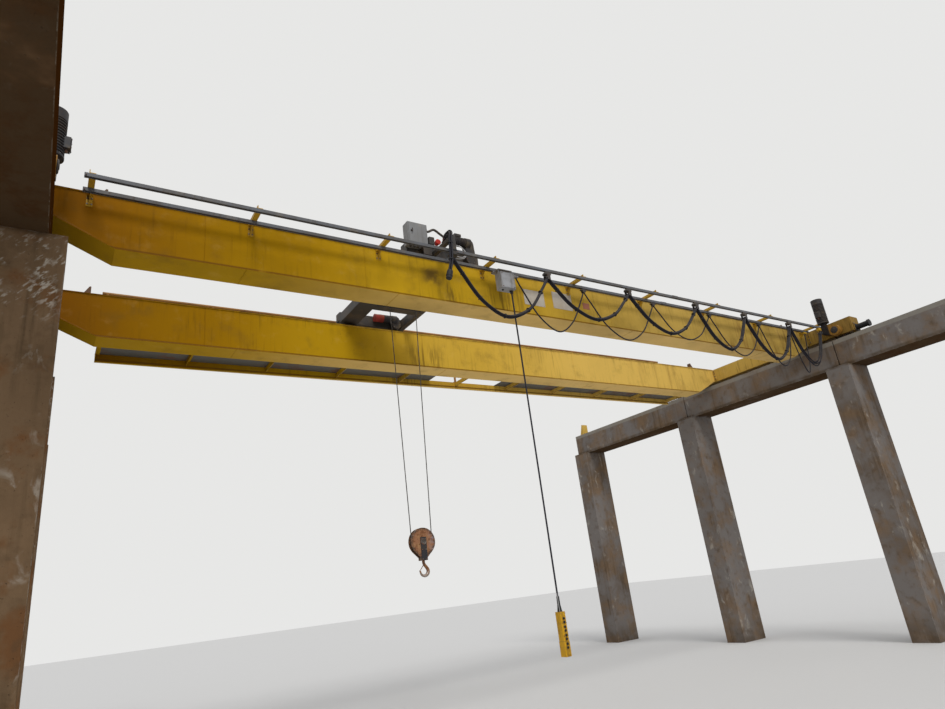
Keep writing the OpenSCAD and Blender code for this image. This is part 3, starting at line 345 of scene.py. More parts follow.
def girder_paint(name, light_shade_tones, shade, stained):
    """Yellow enamel of a girder: darker amber at the left end as painted shade, sandier and brighter to the
    right as painted light, oil below the trolley.
    """
    oil_x, drips_x, box_x, joint_z = -2.36, -2.10, -1.15, 5.486
    look = Look(name, light_shade_tones[0][1], rough=0.6, gloss=0.03)
    # Tones along X: painted shade to the left, painted light to the right
    for (left, _), (right, colour) in zip(light_shade_tones, light_shade_tones[1:]):
        look.coat(colour, look.band(look.x, left, right))
    # Faces that look down are painted lighter, amber to the left and sand further right: painted light
    look.coat(UNDERSIDE_LIGHT_AMBER, look.underside(), look.band(look.x, 0.0, -3.0), 0.8, rough=0.7)
    look.coat(SAND, look.underside(), look.band(look.x, -5.0, -1.5), 0.75, rough=0.7)
    # Large darker patches, heavy on the near girder and faint on the far one: painted shade
    look.coat(GRIME, look.cloud(1.6, 0.35, 0.75, shade))
    look.coat(tint(GRIME, 2.5), look.cloud(0.30, 0.50, 0.80, 0.35, detail=6))
    look.age(fade=0.3, runs=0.35, dust=0.8, rust=0.5, wear=0.4)
    brown = look.cloud(0.12, 0.46, 0.68, 0.15 + 0.5 * stained, stretch=(1, 1, 6))
    look.coat(RUST, brown, look.upright(), look.band(look.x, 3.2, 4.6), rough=0.85)
    look.coat(tint(GRIME, 2.2), look.near(look.x, oil_x, 0.04, 0.22), look.upright(),
              look.near(look.z, 5.83, 0.05, 0.14), look.cloud(0.20, 0.25, 0.55, stained), rough=0.45)
    look.coat(tint(GRIME, 2.2), look.near(look.x, drips_x, 0.06, 0.20), look.upright(),
              look.band(look.z, 5.85, 5.70), look.cloud(0.07, 0.42, 0.62, 0.7 * stained, stretch=(1, 1, 6)))
    look.coat(tint(GRIME, 2.0), look.near(look.x, box_x, 0.15, 0.30), look.upright(),
              look.band(look.z, 6.0, 5.7), look.cloud(0.05, 0.42, 0.62, 0.55, stretch=(1, 1, 12)))
    # Darker along the top of the webs, under the top flange: grime and painted shade
    look.coat(GRIME, look.band(look.z, 6.03, 6.085), look.upright(), look.cloud(0.12, 0.30, 0.70, 0.5))
    look.coat((0.16, 0.070, 0.010), look.near(look.z, joint_z, 0.009, 0.009), look.upright(),
              look.cloud(0.4, 0.15, 0.45, 0.8), rough=0.8)
    return look.done()


def enamel(name, colour, rough=0.5, tone=None, **age):
    """Any other painted steel."""
    look = Look(name, colour, rough, gloss=0.25)
    if tone is not None:
        look.coat(tone, look.cloud(0.35, 0.38, 0.66, 0.7))
    look.age(**age)
    return look.done()


def carriage_paint():
    """Yellow of the end carriages, browner with dirt beyond the near girder."""
    look = Look("carriage_paint", (0.56, 0.36, 0.075), rough=0.65, gloss=0.08)
    look.coat((0.22, 0.125, 0.030), look.band(look.y, -1.30, -1.75), look.cloud(0.5, 0.05, 0.50, 0.85))
    look.age(fade=0.7, runs=0.9, dust=0.8, rust=0.8, wear=0.6)
    return look.done()


def case_paint():
    """Travel drive's gear case: dark with oil below its motor, dirty orange round the wheel's axle."""
    look = Look("case_paint", (0.30, 0.150, 0.028), rough=0.65, gloss=0.1)
    look.coat((0.020, 0.018, 0.020), look.band(look.y, -1.965, -1.935))
    look.age(fade=0.5, runs=0.6, dust=0.8, rust=0.8, wear=0.5)
    return look.done()


def weathered_concrete():
    """Concrete of the columns and beams: lime, pale top edges, soot and painted shade under the beams and
    chipped corners; the left side painted darker as shade.
    """
    smear_z, beam_bottom, beam_top = 4.72, 5.12, 5.60
    look = Look("weathered_concrete", SHADED_CONCRETE, rough=0.9, round_edge=0.012, gloss=0.0)
    left_side = look.band(look.x, 0.0, -1.0)
    # Grey to the right; the darker brown base, which stays on the left, is painted shade
    look.coat(GRAY_CONCRETE, look.band(look.x, -2.0, 5.0))
    look.coat(tint(SHADED_CONCRETE, 0.62), look.cloud(0.9, 0.40, 0.70, 0.75))
    look.coat(tint(SHADED_CONCRETE, 1.5), look.cloud(0.45, 0.42, 0.70, 0.5))
    look.coat(BRICK, look.cloud(0.40, 0.48, 0.66, 0.75), look.band(look.x, 1.0, -1.0))
    look.coat(tint(SHADED_CONCRETE, 0.55), look.cloud(0.16, 0.50, 0.75, 0.55, detail=6))
    runs = look.cloud(0.09, 0.48, 0.72, 0.6, stretch=(1, 1, 14))
    look.coat(SOOT, runs, look.upright(), look.cloud(0.9, 0.38, 0.62))
    lime = look.cloud(0.16, 0.56, 0.70, 0.38, detail=7, warp=0.5, stretch=(1, 1, 1.6))
    look.coat(LIME, lime, look.cloud(1.1, 0.44, 0.58))
    smears = look.cloud(0.030, 0.50, 0.66, 0.65, detail=3, stretch=(1, 1, 2.6), lean=math.radians(-40))
    look.coat(LIME, look.near(look.z, smear_z, 0.18, 0.35), left_side, look.upright(), smears,
              look.cloud(0.22, 0.42, 0.60))
    # Dark brown undersides and a band along the left beam's lower edge: soot, with painted shade
    look.coat(SOOT_AND_SHADE_BROWN, look.underside(), look.cloud(0.6, 0.10, 0.50, 0.9))
    look.coat(SOOT_AND_SHADE_BROWN, look.band(look.z, beam_bottom - 0.02, beam_bottom + 0.02), left_side,
              look.cloud(0.6, -0.10, 0.30, 1.0))
    look.coat(tint(LIME, 0.5), look.band(look.z, beam_top - 0.025, beam_top), look.upright(),
              look.band(look.x, 0.0, 1.0), look.cloud(0.5, 0.20, 0.55, 0.7))
    look.coat(SOOT, look.near(look.z, beam_bottom, 0.02, 0.05), look.cloud(0.3, 0.25, 0.60, 0.7))
    look.coat(SOOT, look.band(look.z, 0.6, 0.0), look.cloud(0.4, 0.25, 0.65, 0.7))
    look.coat(LIME, look.edges(), look.cloud(0.12, 0.44, 0.62, 0.5))
    pits = look.cloud(0.018, 0.66, 0.72)
    look.coat(SOOT, pits, 0.7)
    look.raise_by(look.noise(0.012, detail=6.0), 0.0012)
    look.raise_by(look.noise(0.5, detail=3.0), 0.006)
    look.raise_by(pits, -0.0025)
    look.raise_by(lime, 0.0008)
    return look.done()


def running_rail(name, across, line, half):
    """Rusty rail with a bright band where the wheels run, its line as far from the middle on both sides."""
    look = Look(name, (0.115, 0.060, 0.032), rough=0.85, round_edge=0.003)
    look.coat((0.20, 0.10, 0.045), look.cloud(0.08, 0.42, 0.68, 0.8, detail=6))
    look.coat(DARK_PAINT, look.cloud(0.5, 0.45, 0.70, 0.6))
    from_middle = look.calc("ABSOLUTE", look.x if across == "x" else look.y)
    look.coat(BARE_STEEL, look.near(from_middle, line, half, 0.006), look.band(look.up, 0.5, 0.9), 0.9,
              rough=0.32, metal=1.0)
    look.raise_by(look.noise(0.008, detail=5.0), 0.0003)
    return look.done()


def bare_metal(name, colour, rough, rusty, grease):
    """Steel without paint, more or less rusty and greasy."""
    look = Look(name, colour, rough, metal=1.0, round_edge=0.002)
    look.coat(RUST, look.cloud(0.05, 0.62 - 0.3 * rusty, 0.80 - 0.2 * rusty, 0.9), rough=0.85, metal=0.1)
    look.coat(GREASE, look.cloud(0.09, 0.60 - 0.3 * grease, 0.75 - 0.2 * grease, 0.9), rough=0.35, metal=0.0)
    look.raise_by(look.noise(0.004), 0.00015)
    return look.done()


def rubber(name, colour, dusty):
    """Cable sheath or buffer."""
    look = Look(name, colour, rough=0.55, round_edge=0.002, gloss=0.2)
    dust = look.cloud(0.10, 0.30, 0.70, dusty)
    look.coat(tint(DUST, 0.45), look.band(look.up, -0.1, 0.9), dust, rough=0.85)
    look.coat(tint(colour, 2.6), look.cloud(0.03, 0.58, 0.74, 0.5), rough=0.7)
    look.raise_by(look.noise(0.003), 0.0001)
    look.raise_by(look.noise(0.04), 0.0006)
    return look.done()


def checker_plate():
    """Floor plate of the walkway with raised lozenges."""
    look = Look("checker_plate", (0.115, 0.108, 0.090), rough=0.6, metal=0.3, round_edge=0.002)
    step = 0.030
    rows = []
    for sign in (1, -1):
        slant = look.calc("ADD", look.x, look.calc("MULTIPLY", look.y, sign))
        cross = look.calc("SUBTRACT", look.x, look.calc("MULTIPLY", look.y, sign))
        thin = look.band(look.calc("PINGPONG", slant, step), 0.24 * step, 0.12 * step)
        short = look.band(look.calc("PINGPONG", cross, step), 0.65 * step, 0.50 * step)
        rows.append(look.product(thin, short))
    lozenges = look.calc("MAXIMUM", *rows)
    level = look.band(look.up, 0.4, 0.9)
    look.coat(DUST, level, look.cloud(0.20, 0.25, 0.60, 0.8), rough=0.95)
    look.coat(RUST, look.cloud(0.30, 0.50, 0.70, 0.7), rough=0.9, metal=0.0)
    look.coat(BARE_STEEL, lozenges, level, look.cloud(0.4, 0.45, 0.6), rough=0.4)
    look.raise_by(look.product(lozenges, look.calc("ABSOLUTE", look.up)), 0.0018)
    look.raise_by(look.noise(0.005), 0.0001)
    return look.done()


def hook_forging():
    """Forged hook: orange rust with bright metal rubbed free in the bowl."""
    look = Look("hook_forging", (0.20, 0.085, 0.035), rough=0.8, metal=0.2, round_edge=0.002)
    look.coat((0.34, 0.16, 0.055), look.cloud(0.025, 0.45, 0.65, 0.8, detail=6))
    look.coat(GREASE, look.cloud(0.04, 0.52, 0.68, 0.8), rough=0.4)
    rubbed = look.cloud(0.02, 0.36, 0.56, 0.8)
    look.coat(BARE_STEEL, look.band(look.z, 2.12, 2.04), rubbed, rough=0.35, metal=0.9)
    look.raise_by(look.noise(0.006, detail=6.0), 0.0005)
    return look.done()


def block_paint():
    """Side plates of the hook block: ochre paint gone to rust, greasy round the pin and towards the rim."""
    look = Look("block_paint", (0.28, 0.125, 0.058), rough=0.7, round_edge=0.003, gloss=0.3)
    look.coat((0.34, 0.185, 0.080), look.cloud(0.06, 0.44, 0.66, 0.8))
    # Pale lilac grey on the right part of the side plates: painted light
    look.coat((0.27, 0.24, 0.27), look.band(look.x, -2.06, -1.95), look.cloud(0.05, 0.35, 0.60, 0.7))
    look.coat(RUST, look.cloud(0.03, 0.48, 0.64, 0.8, detail=6), rough=0.9)
    up_off = look.calc("POWER", look.calc("SUBTRACT", look.z, SHEAVE_Z), 2.0)
    side_off = look.calc("POWER", look.calc("ADD", look.x, -HOOK_X), 2.0)
    from_pin = look.calc("POWER", look.calc("ADD", up_off, side_off), 0.5)
    look.coat(GREASE, look.band(from_pin, 0.14, 0.18), look.cloud(0.03, 0.25, 0.60, 0.85), rough=0.5)
    look.coat(GREASE, look.band(from_pin, 0.06, 0.03), look.cloud(0.03, 0.25, 0.60, 0.9), rough=0.4)
    look.coat(BARE_STEEL, look.edges(), look.cloud(0.03, 0.40, 0.60, 0.8), rough=0.4, metal=0.8)
    look.raise_by(look.noise(0.006, detail=6.0), 0.0004)
    return look.done()


def wire_rope():
    """Greased wire rope: six strands laid round it, from the rope's own lay of length and angle."""
    strands, lay_length = 6.0, 0.085
    look = Look("wire_rope", (0.050, 0.046, 0.042), rough=0.45, metal=0.6, round_edge=0.0005)
    lay = look.node("ShaderNodeUVMap", uv_map="lay").outputs[0]
    across, along, _ = look.node("ShaderNodeSeparateXYZ", lay).outputs
    turn = look.calc("ADD", look.product(across, strands), look.product(along, strands / lay_length))
    strand = look.calc("PINGPONG", turn, 0.5)
    look.coat(BARE_STEEL, look.band(strand, 0.30, 0.5), 0.55, rough=0.35)
    look.coat(GREASE, look.cloud(0.20, 0.48, 0.62, 0.85), rough=0.35)
    look.raise_by(strand, 0.0035)
    return look.done()


def moulded_yellow():
    """Plastic of the pendant control with hand dirt on it."""
    look = Look("moulded_yellow", (0.60, 0.32, 0.012), rough=0.42, round_edge=0.004, gloss=0.2)
    look.coat(tint(GRIME, 1.4), look.cloud(0.10, 0.44, 0.72, 0.45), rough=0.7)
    look.coat(tint(GRIME, 1.4), look.near(look.x, CONTROL_X, 0.022, 0.012), look.cloud(0.03, 0.30, 0.62, 0.5))
    look.coat(SAND, look.edges(), look.cloud(0.02, 0.45, 0.6, 0.6), rough=0.6)
    look.raise_by(look.noise(0.0015), 0.00005)
    return look.done()


near_yellow = girder_paint("near_yellow", NEAR_LIGHT_SHADE_TONES, 0.30, 0.9)
far_yellow = girder_paint("far_yellow", FAR_LIGHT_SHADE_TONES, 0.05, 0.15)
end_yellow = carriage_paint()
case_dark = case_paint()
arm_yellow = enamel("arm_yellow", (0.50, 0.29, 0.020), fade=0.6, runs=0.4, dust=0.8, rust=0.6, wear=0.6)
dark_enamel = enamel("dark_enamel", DARK_PAINT, tone=(0.085, 0.065, 0.048), fade=0.3, dust=0.9, rust=0.9,
                     wear=0.8)
drive_dark = enamel("drive_dark", (0.026, 0.025, 0.028), tone=(0.05, 0.04, 0.03), dust=0.8)
green_enamel = enamel("green_enamel", (0.105, 0.155, 0.120), tone=(0.07, 0.08, 0.06), dust=0.9, wear=0.6)
red_enamel = enamel("red_enamel", (0.30, 0.030, 0.018), tone=(0.13, 0.028, 0.018), dust=0.9, rust=0.4)
bright_red = enamel("bright_red", (0.52, 0.030, 0.018), rust=0.2, wear=0.3)
panel_gray = enamel("panel_gray", (0.225, 0.225, 0.225), tone=(0.19, 0.185, 0.175), fade=0.3, runs=0.35,
                    dust=0.8, rust=0.25, wear=0.4)
track_gray = enamel("track_gray", (0.115, 0.120, 0.130), tone=(0.085, 0.075, 0.065), fade=0.3, dust=0.9,
                    rust=0.6)
box_gray = enamel("box_gray", (0.33, 0.33, 0.335), tone=(0.12, 0.11, 0.10), dust=0.8, rust=0.4)
rail_orange = enamel("rail_orange", (0.36, 0.175, 0.045), tone=(0.20, 0.10, 0.04), dust=0.7, rust=0.9,
                     wear=0.7)
bare_plate = enamel("bare_plate", (0.50, 0.45, 0.38), tone=(0.40, 0.33, 0.24), fade=0.6, dust=0.3, rust=0.3)
faded_plate = enamel("faded_plate", (0.34, 0.12, 0.070), fade=0.6, runs=0.3, dust=0.3, rust=0.1, wear=0.3)
concrete = weathered_concrete()
crane_rail = running_rail("crane_rail", "x", CRANE_RAIL_X, 0.018)
trolley_rail = running_rail("trolley_rail", "y", GIRDER_Y, 0.012)
wheel_steel = bare_metal("wheel_steel", (0.20, 0.18, 0.16), 0.45, 0.6, 0.6)
bolt_steel = bare_metal("bolt_steel", (0.24, 0.22, 0.20), 0.50, 0.9, 0.3)
drum_steel = bare_metal("drum_steel", (0.16, 0.15, 0.14), 0.40, 0.3, 0.9)
bright_steel = bare_metal("bright_steel", (0.55, 0.53, 0.50), 0.30, 0.1, 0.2)
black_rubber = rubber("black_rubber", (0.018, 0.018, 0.020), 0.5)
cable_sheath = rubber("cable_sheath", (0.017, 0.016, 0.022), 0.45)
pale_sheath = rubber("pale_sheath", (0.40, 0.39, 0.38), 0.4)
button_black = rubber("button_black", (0.018, 0.018, 0.018), 0.3)
floor_plate = checker_plate()
hook_steel = hook_forging()
cheek_paint = block_paint()
rope_wire = wire_rope()
control_yellow = moulded_yellow()


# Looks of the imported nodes


def dress(node, *looks, choose=None):
    """Gives a node its materials. choose gives the number of the look for a face's middle."""
    mesh = nodes[node].data
    mesh.materials.clear()
    for look in looks:
        mesh.materials.append(look)
    for face in mesh.polygons:
        face.material_index = choose(face.center) if choose else 0


def drive_look(p):
    """Red for the motor's end of each trolley drive."""
    red_end = -1.99 if p.y < 0 else -1.92
    return 1 if p.x < red_end else 0


def block_look(p):
    """Bright for the rope guards between the side plates, dark for their straps."""
    if abs(p.y) < 0.031 and p.z > 2.55:
        return 2
    return 1 if abs(p.y) > 0.0445 else 0


def dress_nodes():
    """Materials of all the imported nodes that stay."""
    gear_top, boot_bottom = 6.09, 1.416
    button_face = box("pendant_control")[0].y + 0.0085
    carriers = [f"{kind}_carrier_{i}" for kind in ("heavy", "light") for i in range(1, 6)]
    for look, names in ((concrete, ("runway_columns", "runway_beams")),
                        (end_yellow, ("runway_end_stops", "left_end_carriage", "right_end_carriage")),
                        (far_yellow, ("back_girder", "walkway_frame")),
                        (wheel_steel, ("bridge_wheels", "crab_wheels", "block_sheave")),
                        (green_enamel, ("hoist_gearbox", "hoist_motor")),
                        (dark_enamel, ("crab_frame", "tow_arm", *carriers)),
                        (crane_rail, ("crane_rails",)), (near_yellow, ("front_girder",)),
                        (trolley_rail, ("trolley_rails",)), (black_rubber, ("bridge_buffers",)),
                        (floor_plate, ("walkway_floor",)), (rail_orange, ("walkway_handrail",)),
                        (track_gray, ("festoon_rails",)), (arm_yellow, ("festoon_brackets",)),
                        (panel_gray, ("electrical_box",)), (hook_steel, ("hook",)),
                        (box_gray, ("pendant_trolley",)), (drum_steel, ("hoist_drum",))):
        for node in names:
            dress(node, look)
    dress("crab_drive", drive_dark, red_enamel, choose=drive_look)
    dress("bridge_drives", drive_dark, case_dark, choose=lambda p: 0 if p.z > gear_top else 1)
    dress("block_cheeks", cheek_paint, drive_dark, bright_steel, choose=block_look)
    dress("pendant_control", control_yellow, button_black,
          choose=lambda p: 1 if p.z > boot_bottom or p.y < button_face else 0)


dress_nodes()


# Meshes


def mesh_object(name, points, faces, looks, kinds=None):
    """An object from points and faces, smooth but for its sharp edges."""
    mesh = bpy.data.meshes.new(name)
    mesh.from_pydata([tuple(p) for p in points], [], faces)
    for look in looks:
        mesh.materials.append(look)
    for i, kind in enumerate(kinds or []):
        mesh.polygons[i].material_index = kind
    mesh.update()
    mesh.shade_smooth()
    mesh.set_sharp_from_angle(angle=math.radians(35))
    thing = bpy.data.objects.new(name, mesh)
    bpy.context.scene.collection.objects.link(thing)
    return thing


def smooth_path(route, steps):
    """A smooth curve through a route's points, with so many steps between two of them."""
    route = [Vector(p) for p in route]
    found = []
    for i in range(len(route) - 1):
        a, b, c, d = (route[min(max(k, 0), len(route) - 1)] for k in (i - 1, i, i + 1, i + 2))
        for s in range(steps):
            t = s / steps
            found.append(0.5 * (2 * b + (c - a) * t + (2 * a - 5 * b + 4 * c - d) * t * t
                                + (3 * b - a - 3 * c + d) * t ** 3))
    return found + [route[-1]]


def turned_ring(centre, side, over, radius, sides):
    """Points of a circle round a centre."""
    return [around(centre, radius, angle, (side, over)) for angle in turns(sides)]


def frames_along(path, closed=False):
    """A path's points, each with two directions across it that turn as little as can be."""
    path = [Vector(p) for p in path]
    count = len(path)
    side = None
    found = []
    for i, place in enumerate(path):
        if closed:
            way = (path[(i + 1) % count] - path[i - 1]).normalized()
        else:
            way = (path[min(i + 1, count - 1)] - path[max(i - 1, 0)]).normalized()
        side = way.orthogonal() if side is None else side - way * side.dot(way)
        side = side.normalized()
        found.append((place, side, way.cross(side)))
    return found


class Shape:
    """Gathers the points and faces of many small solids into one piece, each solid with the look it wears."""

    def __init__(self):
        self.points = []
        self.faces = []
        self.kinds = []
        self.kind = 0

    def wear(self, kind):
        """Sets the number of the look for the solids that are added next."""
        self.kind = kind
        return self

    def add(self, points, faces):
        """Adds one solid in the look that is set."""
        first = len(self.points)
        self.points += points
        self.faces += [tuple(first + k for k in face) for face in faces]
        self.kinds += [self.kind] * len(faces)

    def skin(self, rings, closed=False):
        """Adds a solid through rings of points, its ends closed or joined to each other."""
        sides = len(rings[0])
        pairs = list(zip(range(len(rings)), range(1, len(rings))))
        if closed:
            pairs.append((len(rings) - 1, 0))
        faces = []
        for a, b in pairs:
            for s in range(sides):
                n = (s + 1) % sides
                faces.append((a * sides + s, a * sides + n, b * sides + n, b * sides + s))
        if not closed:
            faces.append(tuple(range(sides - 1, -1, -1)))
            faces.append(tuple((len(rings) - 1) * sides + s for s in range(sides)))
        self.add([p for ring in rings for p in ring], faces)

    def plate(self, xs, ys, zs, chamfer=0.002):
        """A box with chamfered edges, from its two ends along X, Y and Z, given in any order."""
        ends = [sorted(span) for span in (xs, ys, zs)]
        cut = min([chamfer] + [0.4 * (b - a) for a, b in ends])
        signs = [(i, j, k) for i in (0, 1) for j in (0, 1) for k in (0, 1)]
        number = {}
        points = []
        for sign in signs:
            for axis in range(3):
                number[sign, axis] = len(points)
                points.append(Vector([ends[k][sign[k]] + (0 if k == axis else cut if sign[k] == 0 else -cut)
                                      for k in range(3)]))
        faces = [tuple(number[sign, axis] for axis in range(3)) for sign in signs]
        square = ((0, 0), (1, 0), (1, 1), (0, 1))
        for axis in range(3):
            one, two = (axis + 1) % 3, (axis + 2) % 3

            def corner(a, b, c):
                sign = [0, 0, 0]
                sign[axis], sign[one], sign[two] = a, b, c
                return tuple(sign)

            for end in (0, 1):
                faces.append(tuple(number[corner(end, b, c), axis] for b, c in square))
            for b, c in square:
                first, last = corner(0, b, c), corner(1, b, c)
                faces.append((number[first, one], number[last, one], number[last, two], number[first, two]))
        heart = sum(points, Vector()) / len(points)
        outward = []
        for face in faces:
            a, b, c = (points[k] for k in face[:3])
            faces_out = (b - a).cross(c - a).dot(a - heart) > 0
            outward.append(face if faces_out else face[::-1])
        self.add(points, outward)

    def turned(self, start, way, profile, sides=16):
        """A turned piece: profile is pairs of a distance along way and a radius."""
        start, way = Vector(start), way.normalized()
        side = way.orthogonal().normalized()
        over = way.cross(side)
        self.skin([turned_ring(start + way * d, side, over, r, sides) for d, r in profile])

    def rod(self, start, end, radius, sides=12, chamfer=0.0015):
        """A round bar with chamfered ends."""
        start, end = Vector(start), Vector(end)
        length = (end - start).length
        cut = min(chamfer, length * 0.3, radius * 0.4)
        profile = [(0, radius - cut), (cut, radius), (length - cut, radius), (length, radius - cut)]
        self.turned(start, end - start, profile, sides)

    def bolt(self, place, way, size=0.024):
        """A hexagon bolt head on its washer. size is across the head."""
        place, way = Vector(place), way.normalized()
        self.turned(place, way, [(0, 0.68 * size), (0.10 * size, 0.68 * size)], 12)
        head = [(0, 0.56 * size), (0.34 * size, 0.56 * size), (0.40 * size, 0.47 * size)]
        self.turned(place + way * (0.10 * size), way, head, 6)

    def bolts(self, xs, ys, zs, way, size):
        """Bolts wherever the places along X, Y and Z meet. A single place may be a bare number."""
        spans = [(span,) if isinstance(span, (int, float)) else span for span in (xs, ys, zs)]
        for place in itertools.product(*spans):
            self.bolt(place, way, size)

    def bolt_ring(self, centre, radius, angles, way, size, plane=(Y, UP)):
        """Bolts on a circle."""
        for angle in angles:
            self.bolt(around(centre, radius, angle, plane), way, size)

    def tube(self, path, radius, sides=10, closed=False):
        """A round tube along a path, its rings turned as little as can be."""
        frames = frames_along(path, closed)
        self.skin([turned_ring(place, side, over, radius, sides) for place, side, over in frames], closed)

    def hoop(self, centre, way, radius, thick, count=24, sides=6):
        """A round ring of round wire about an axis."""
        side = way.orthogonal().normalized()
        ring = turned_ring(centre, side, way.normalized().cross(side), radius, count)
        self.tube(ring, thick / 2, sides, True)

    def band(self, centre, radius, from_angle, to_angle, width, thick, steps=12):
        """A flat strap bent round an axis along X, its angles from Y."""
        rings = []
        for i in range(steps + 1):
            angle = from_angle + (to_angle - from_angle) * i / steps
            rings.append([around(centre, radius + up, angle) + X * out for up, out in
                          ((0, -width / 2), (0, width / 2), (thick, width / 2), (thick, -width / 2))])
        self.skin(rings)

    def grille(self, centre, way, radius):
        """Rings and spokes of a fan's guard."""
        centre = Vector(centre)
        side = way.orthogonal().normalized()
        over = way.normalized().cross(side)
        for share in (0.35, 0.60, 0.85):
            self.hoop(centre, way, radius * share, 0.004)
        for out in turned_ring(Vector(), side, over, 1, 6):
            self.rod(centre + out * (0.12 * radius), centre + out * (0.95 * radius), 0.0025, 6)
        hub = 0.16 * radius
        self.turned(centre - way * 0.002, way, [(0, hub), (0.006, hub), (0.009, 0.10 * radius)])

    def eye(self, place, radius=0.026):
        """A lifting eye standing on a surface."""
        place = Vector(place)
        collar = radius * 0.8
        self.turned(place, UP, [(0, collar), (radius * 0.3, collar), (radius * 0.45, radius * 0.5)])
        self.hoop(place + UP * (radius * 1.25), Y, radius, radius * 0.42)

    def ride(self, name, body, slot, *looks):
        """Makes the piece and fixes it to a body."""
        piece = mesh_object(name, self.points, self.faces, looks, self.kinds)
        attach(piece, body)
        return piece


# Cables


def path_length(path):
    """Length along a path's points."""
    return sum((path[k + 1] - path[k]).length for k in range(len(path) - 1))


def tied(shape, path, radius, every):
    """Cable ties round a bundle, every so far along it. They wear the bundle's second look."""
    shape.kind = 1
    reached, wanted = 0.0, every / 2
    for a, b in zip(path, path[1:]):
        reached += (b - a).length
        if reached > wanted and path_length(path) - reached > every / 3:
            shape.rod(b, b + (b - a).normalized() * 0.012, radius, 14)
            wanted += every
    shape.kind = 0


def drooping(path, out, over):
    """A path moved sideways by out, and up by over at its middle."""
    last = len(path) - 1
    return [p + Vector((0, out, over * math.sin(math.pi * k / last))) for k, p in enumerate(path)]


def festoon(kind, route, y, top, diameter, strands, leader):
    """The hanging loops of a festoon cable, each a cord. In the last heavy loop each strand is a cord."""
    places = [route[i][0] for i in range(0, len(route), POINTS_PER_LOOP)]
    followers = [leader] + [f"{kind}_carrier_{i}_body" for i in range(1, len(places) - 1)]
    node = "heavy_festoon_cable" if kind == "heavy" else "pendant_festoon_cable"
    for i, body in enumerate(followers):
        part = route[i * POINTS_PER_LOOP:(i + 1) * POINTS_PER_LOOP + 1]
        path = smooth_path([(x, y, top + z) for x, z in part], 8)
        cords = [(f"{kind}_loop_{i + 1}", path, diameter, strands)]
        if len(strands) > 1 and body == followers[-1]:
            loose = [drooping(path, out, LOOSE_DROOP * (over - HEAVY_STRAND / 2)) for out, over in strands]
            cords = [(f"heavy_loop_{i + 1}_strand_{n}", way, HEAVY_STRAND, [(0, 0)])
                     for n, way in enumerate(loose, 1)]
        for name, way, thick, bundle in cords:
            shape = Shape()
            for out, over in bundle:
                shape.tube(drooping(way, out, over), thick / 2 if len(bundle) == 1 else HEAVY_STRAND / 2, 12)
            if len(bundle) > 1:
                tied(shape, way, thick * 0.51, 0.42)
            cable = mesh_object(name, shape.points, shape.faces, (cable_sheath, black_rubber), shape.kinds)
            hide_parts(node)
            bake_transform(cable)


heavy_y = middle("heavy_carrier_1").y
light_y = middle("light_carrier_1").y
pendant_y = middle("pendant_cable").y
festoon("heavy", HEAVY_ROUTE, heavy_y, HEAVY_TOP, HEAVY_BUNDLE, HEAVY_STRANDS, "crab")
festoon("light", LIGHT_ROUTE, light_y, LIGHT_TOP, LIGHT_CABLE, [(0, 0)], "pendant")


def pendant_drop():
    """The pendant's hanging cable."""
    path = smooth_path([(x, pendant_y, z) for x, z in DROP_ROUTE], 8)
    shape = Shape()
    shape.tube(path, LIGHT_CABLE / 2, 16)
    cable = shape.ride("pendant_drop", "pendant", "rubber_black", cable_sheath)
    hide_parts("pendant_cable")


pendant_drop()


def rope_fall(name, top, bottom):
    """One fall of wire rope. It has points at its two ends alone."""
    sides = 16
    shape = Shape()
    shape.tube([top, bottom], ROPE / 2, sides)
    fall = mesh_object(name, shape.points, shape.faces, (rope_wire,))
    lay = fall.data.uv_layers.new(name="lay")
    length = (bottom - top).length
    for face in fall.data.polygons[:sides]:
        for corner, across, along in zip(face.loop_indices, (0, 1, 1, 0), (0, 0, 1, 1)):
            lay.data[corner].uv = ((face.index + across) / sides, along * length)
    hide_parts("hoist_ropes")
    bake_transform(fall)


rope_fall("rope_fall_left", Vector((ROPE_LEFT_X, 0, DRUM_Z)), Vector((-2.267, 0, 2.4706)))
rope_fall("rope_fall_right", Vector((-1.865, 0, 6.1897)), Vector((-1.953, 0, 2.4706)))


def drum_winding():
    """Turns of rope that lie in the drum's grooves, and the clamps that hold the rope's end."""
    pitch, laps, per_lap = 0.020, 10, 28
    radius = 0.160 + ROPE / 2
    start = Vector((ROPE_LEFT_X, DRUM_Y, DRUM_Z))
    end = start + X * (pitch * laps + 0.012)
    shape = Shape()
    shape.tube([around(start + X * (pitch * k / per_lap), radius, -2 * math.pi * k / per_lap)
                for k in range(laps * per_lap + 1)], ROPE / 2, 8)
    shape.kind = 1
    for angle in (0.5, 0.85):
        place = around(end, radius, angle)
        out = (place - end).normalized()
        shape.turned(place - out * 0.008, out, [(0, 0.022), (0.016, 0.022), (0.019, 0.016)], 12)
        shape.bolt(place + out * 0.010, out, 0.016)
    shape.ride("rope_winding", "crab", "rope_steel", drum_steel, bolt_steel)


drum_winding()


# Runway


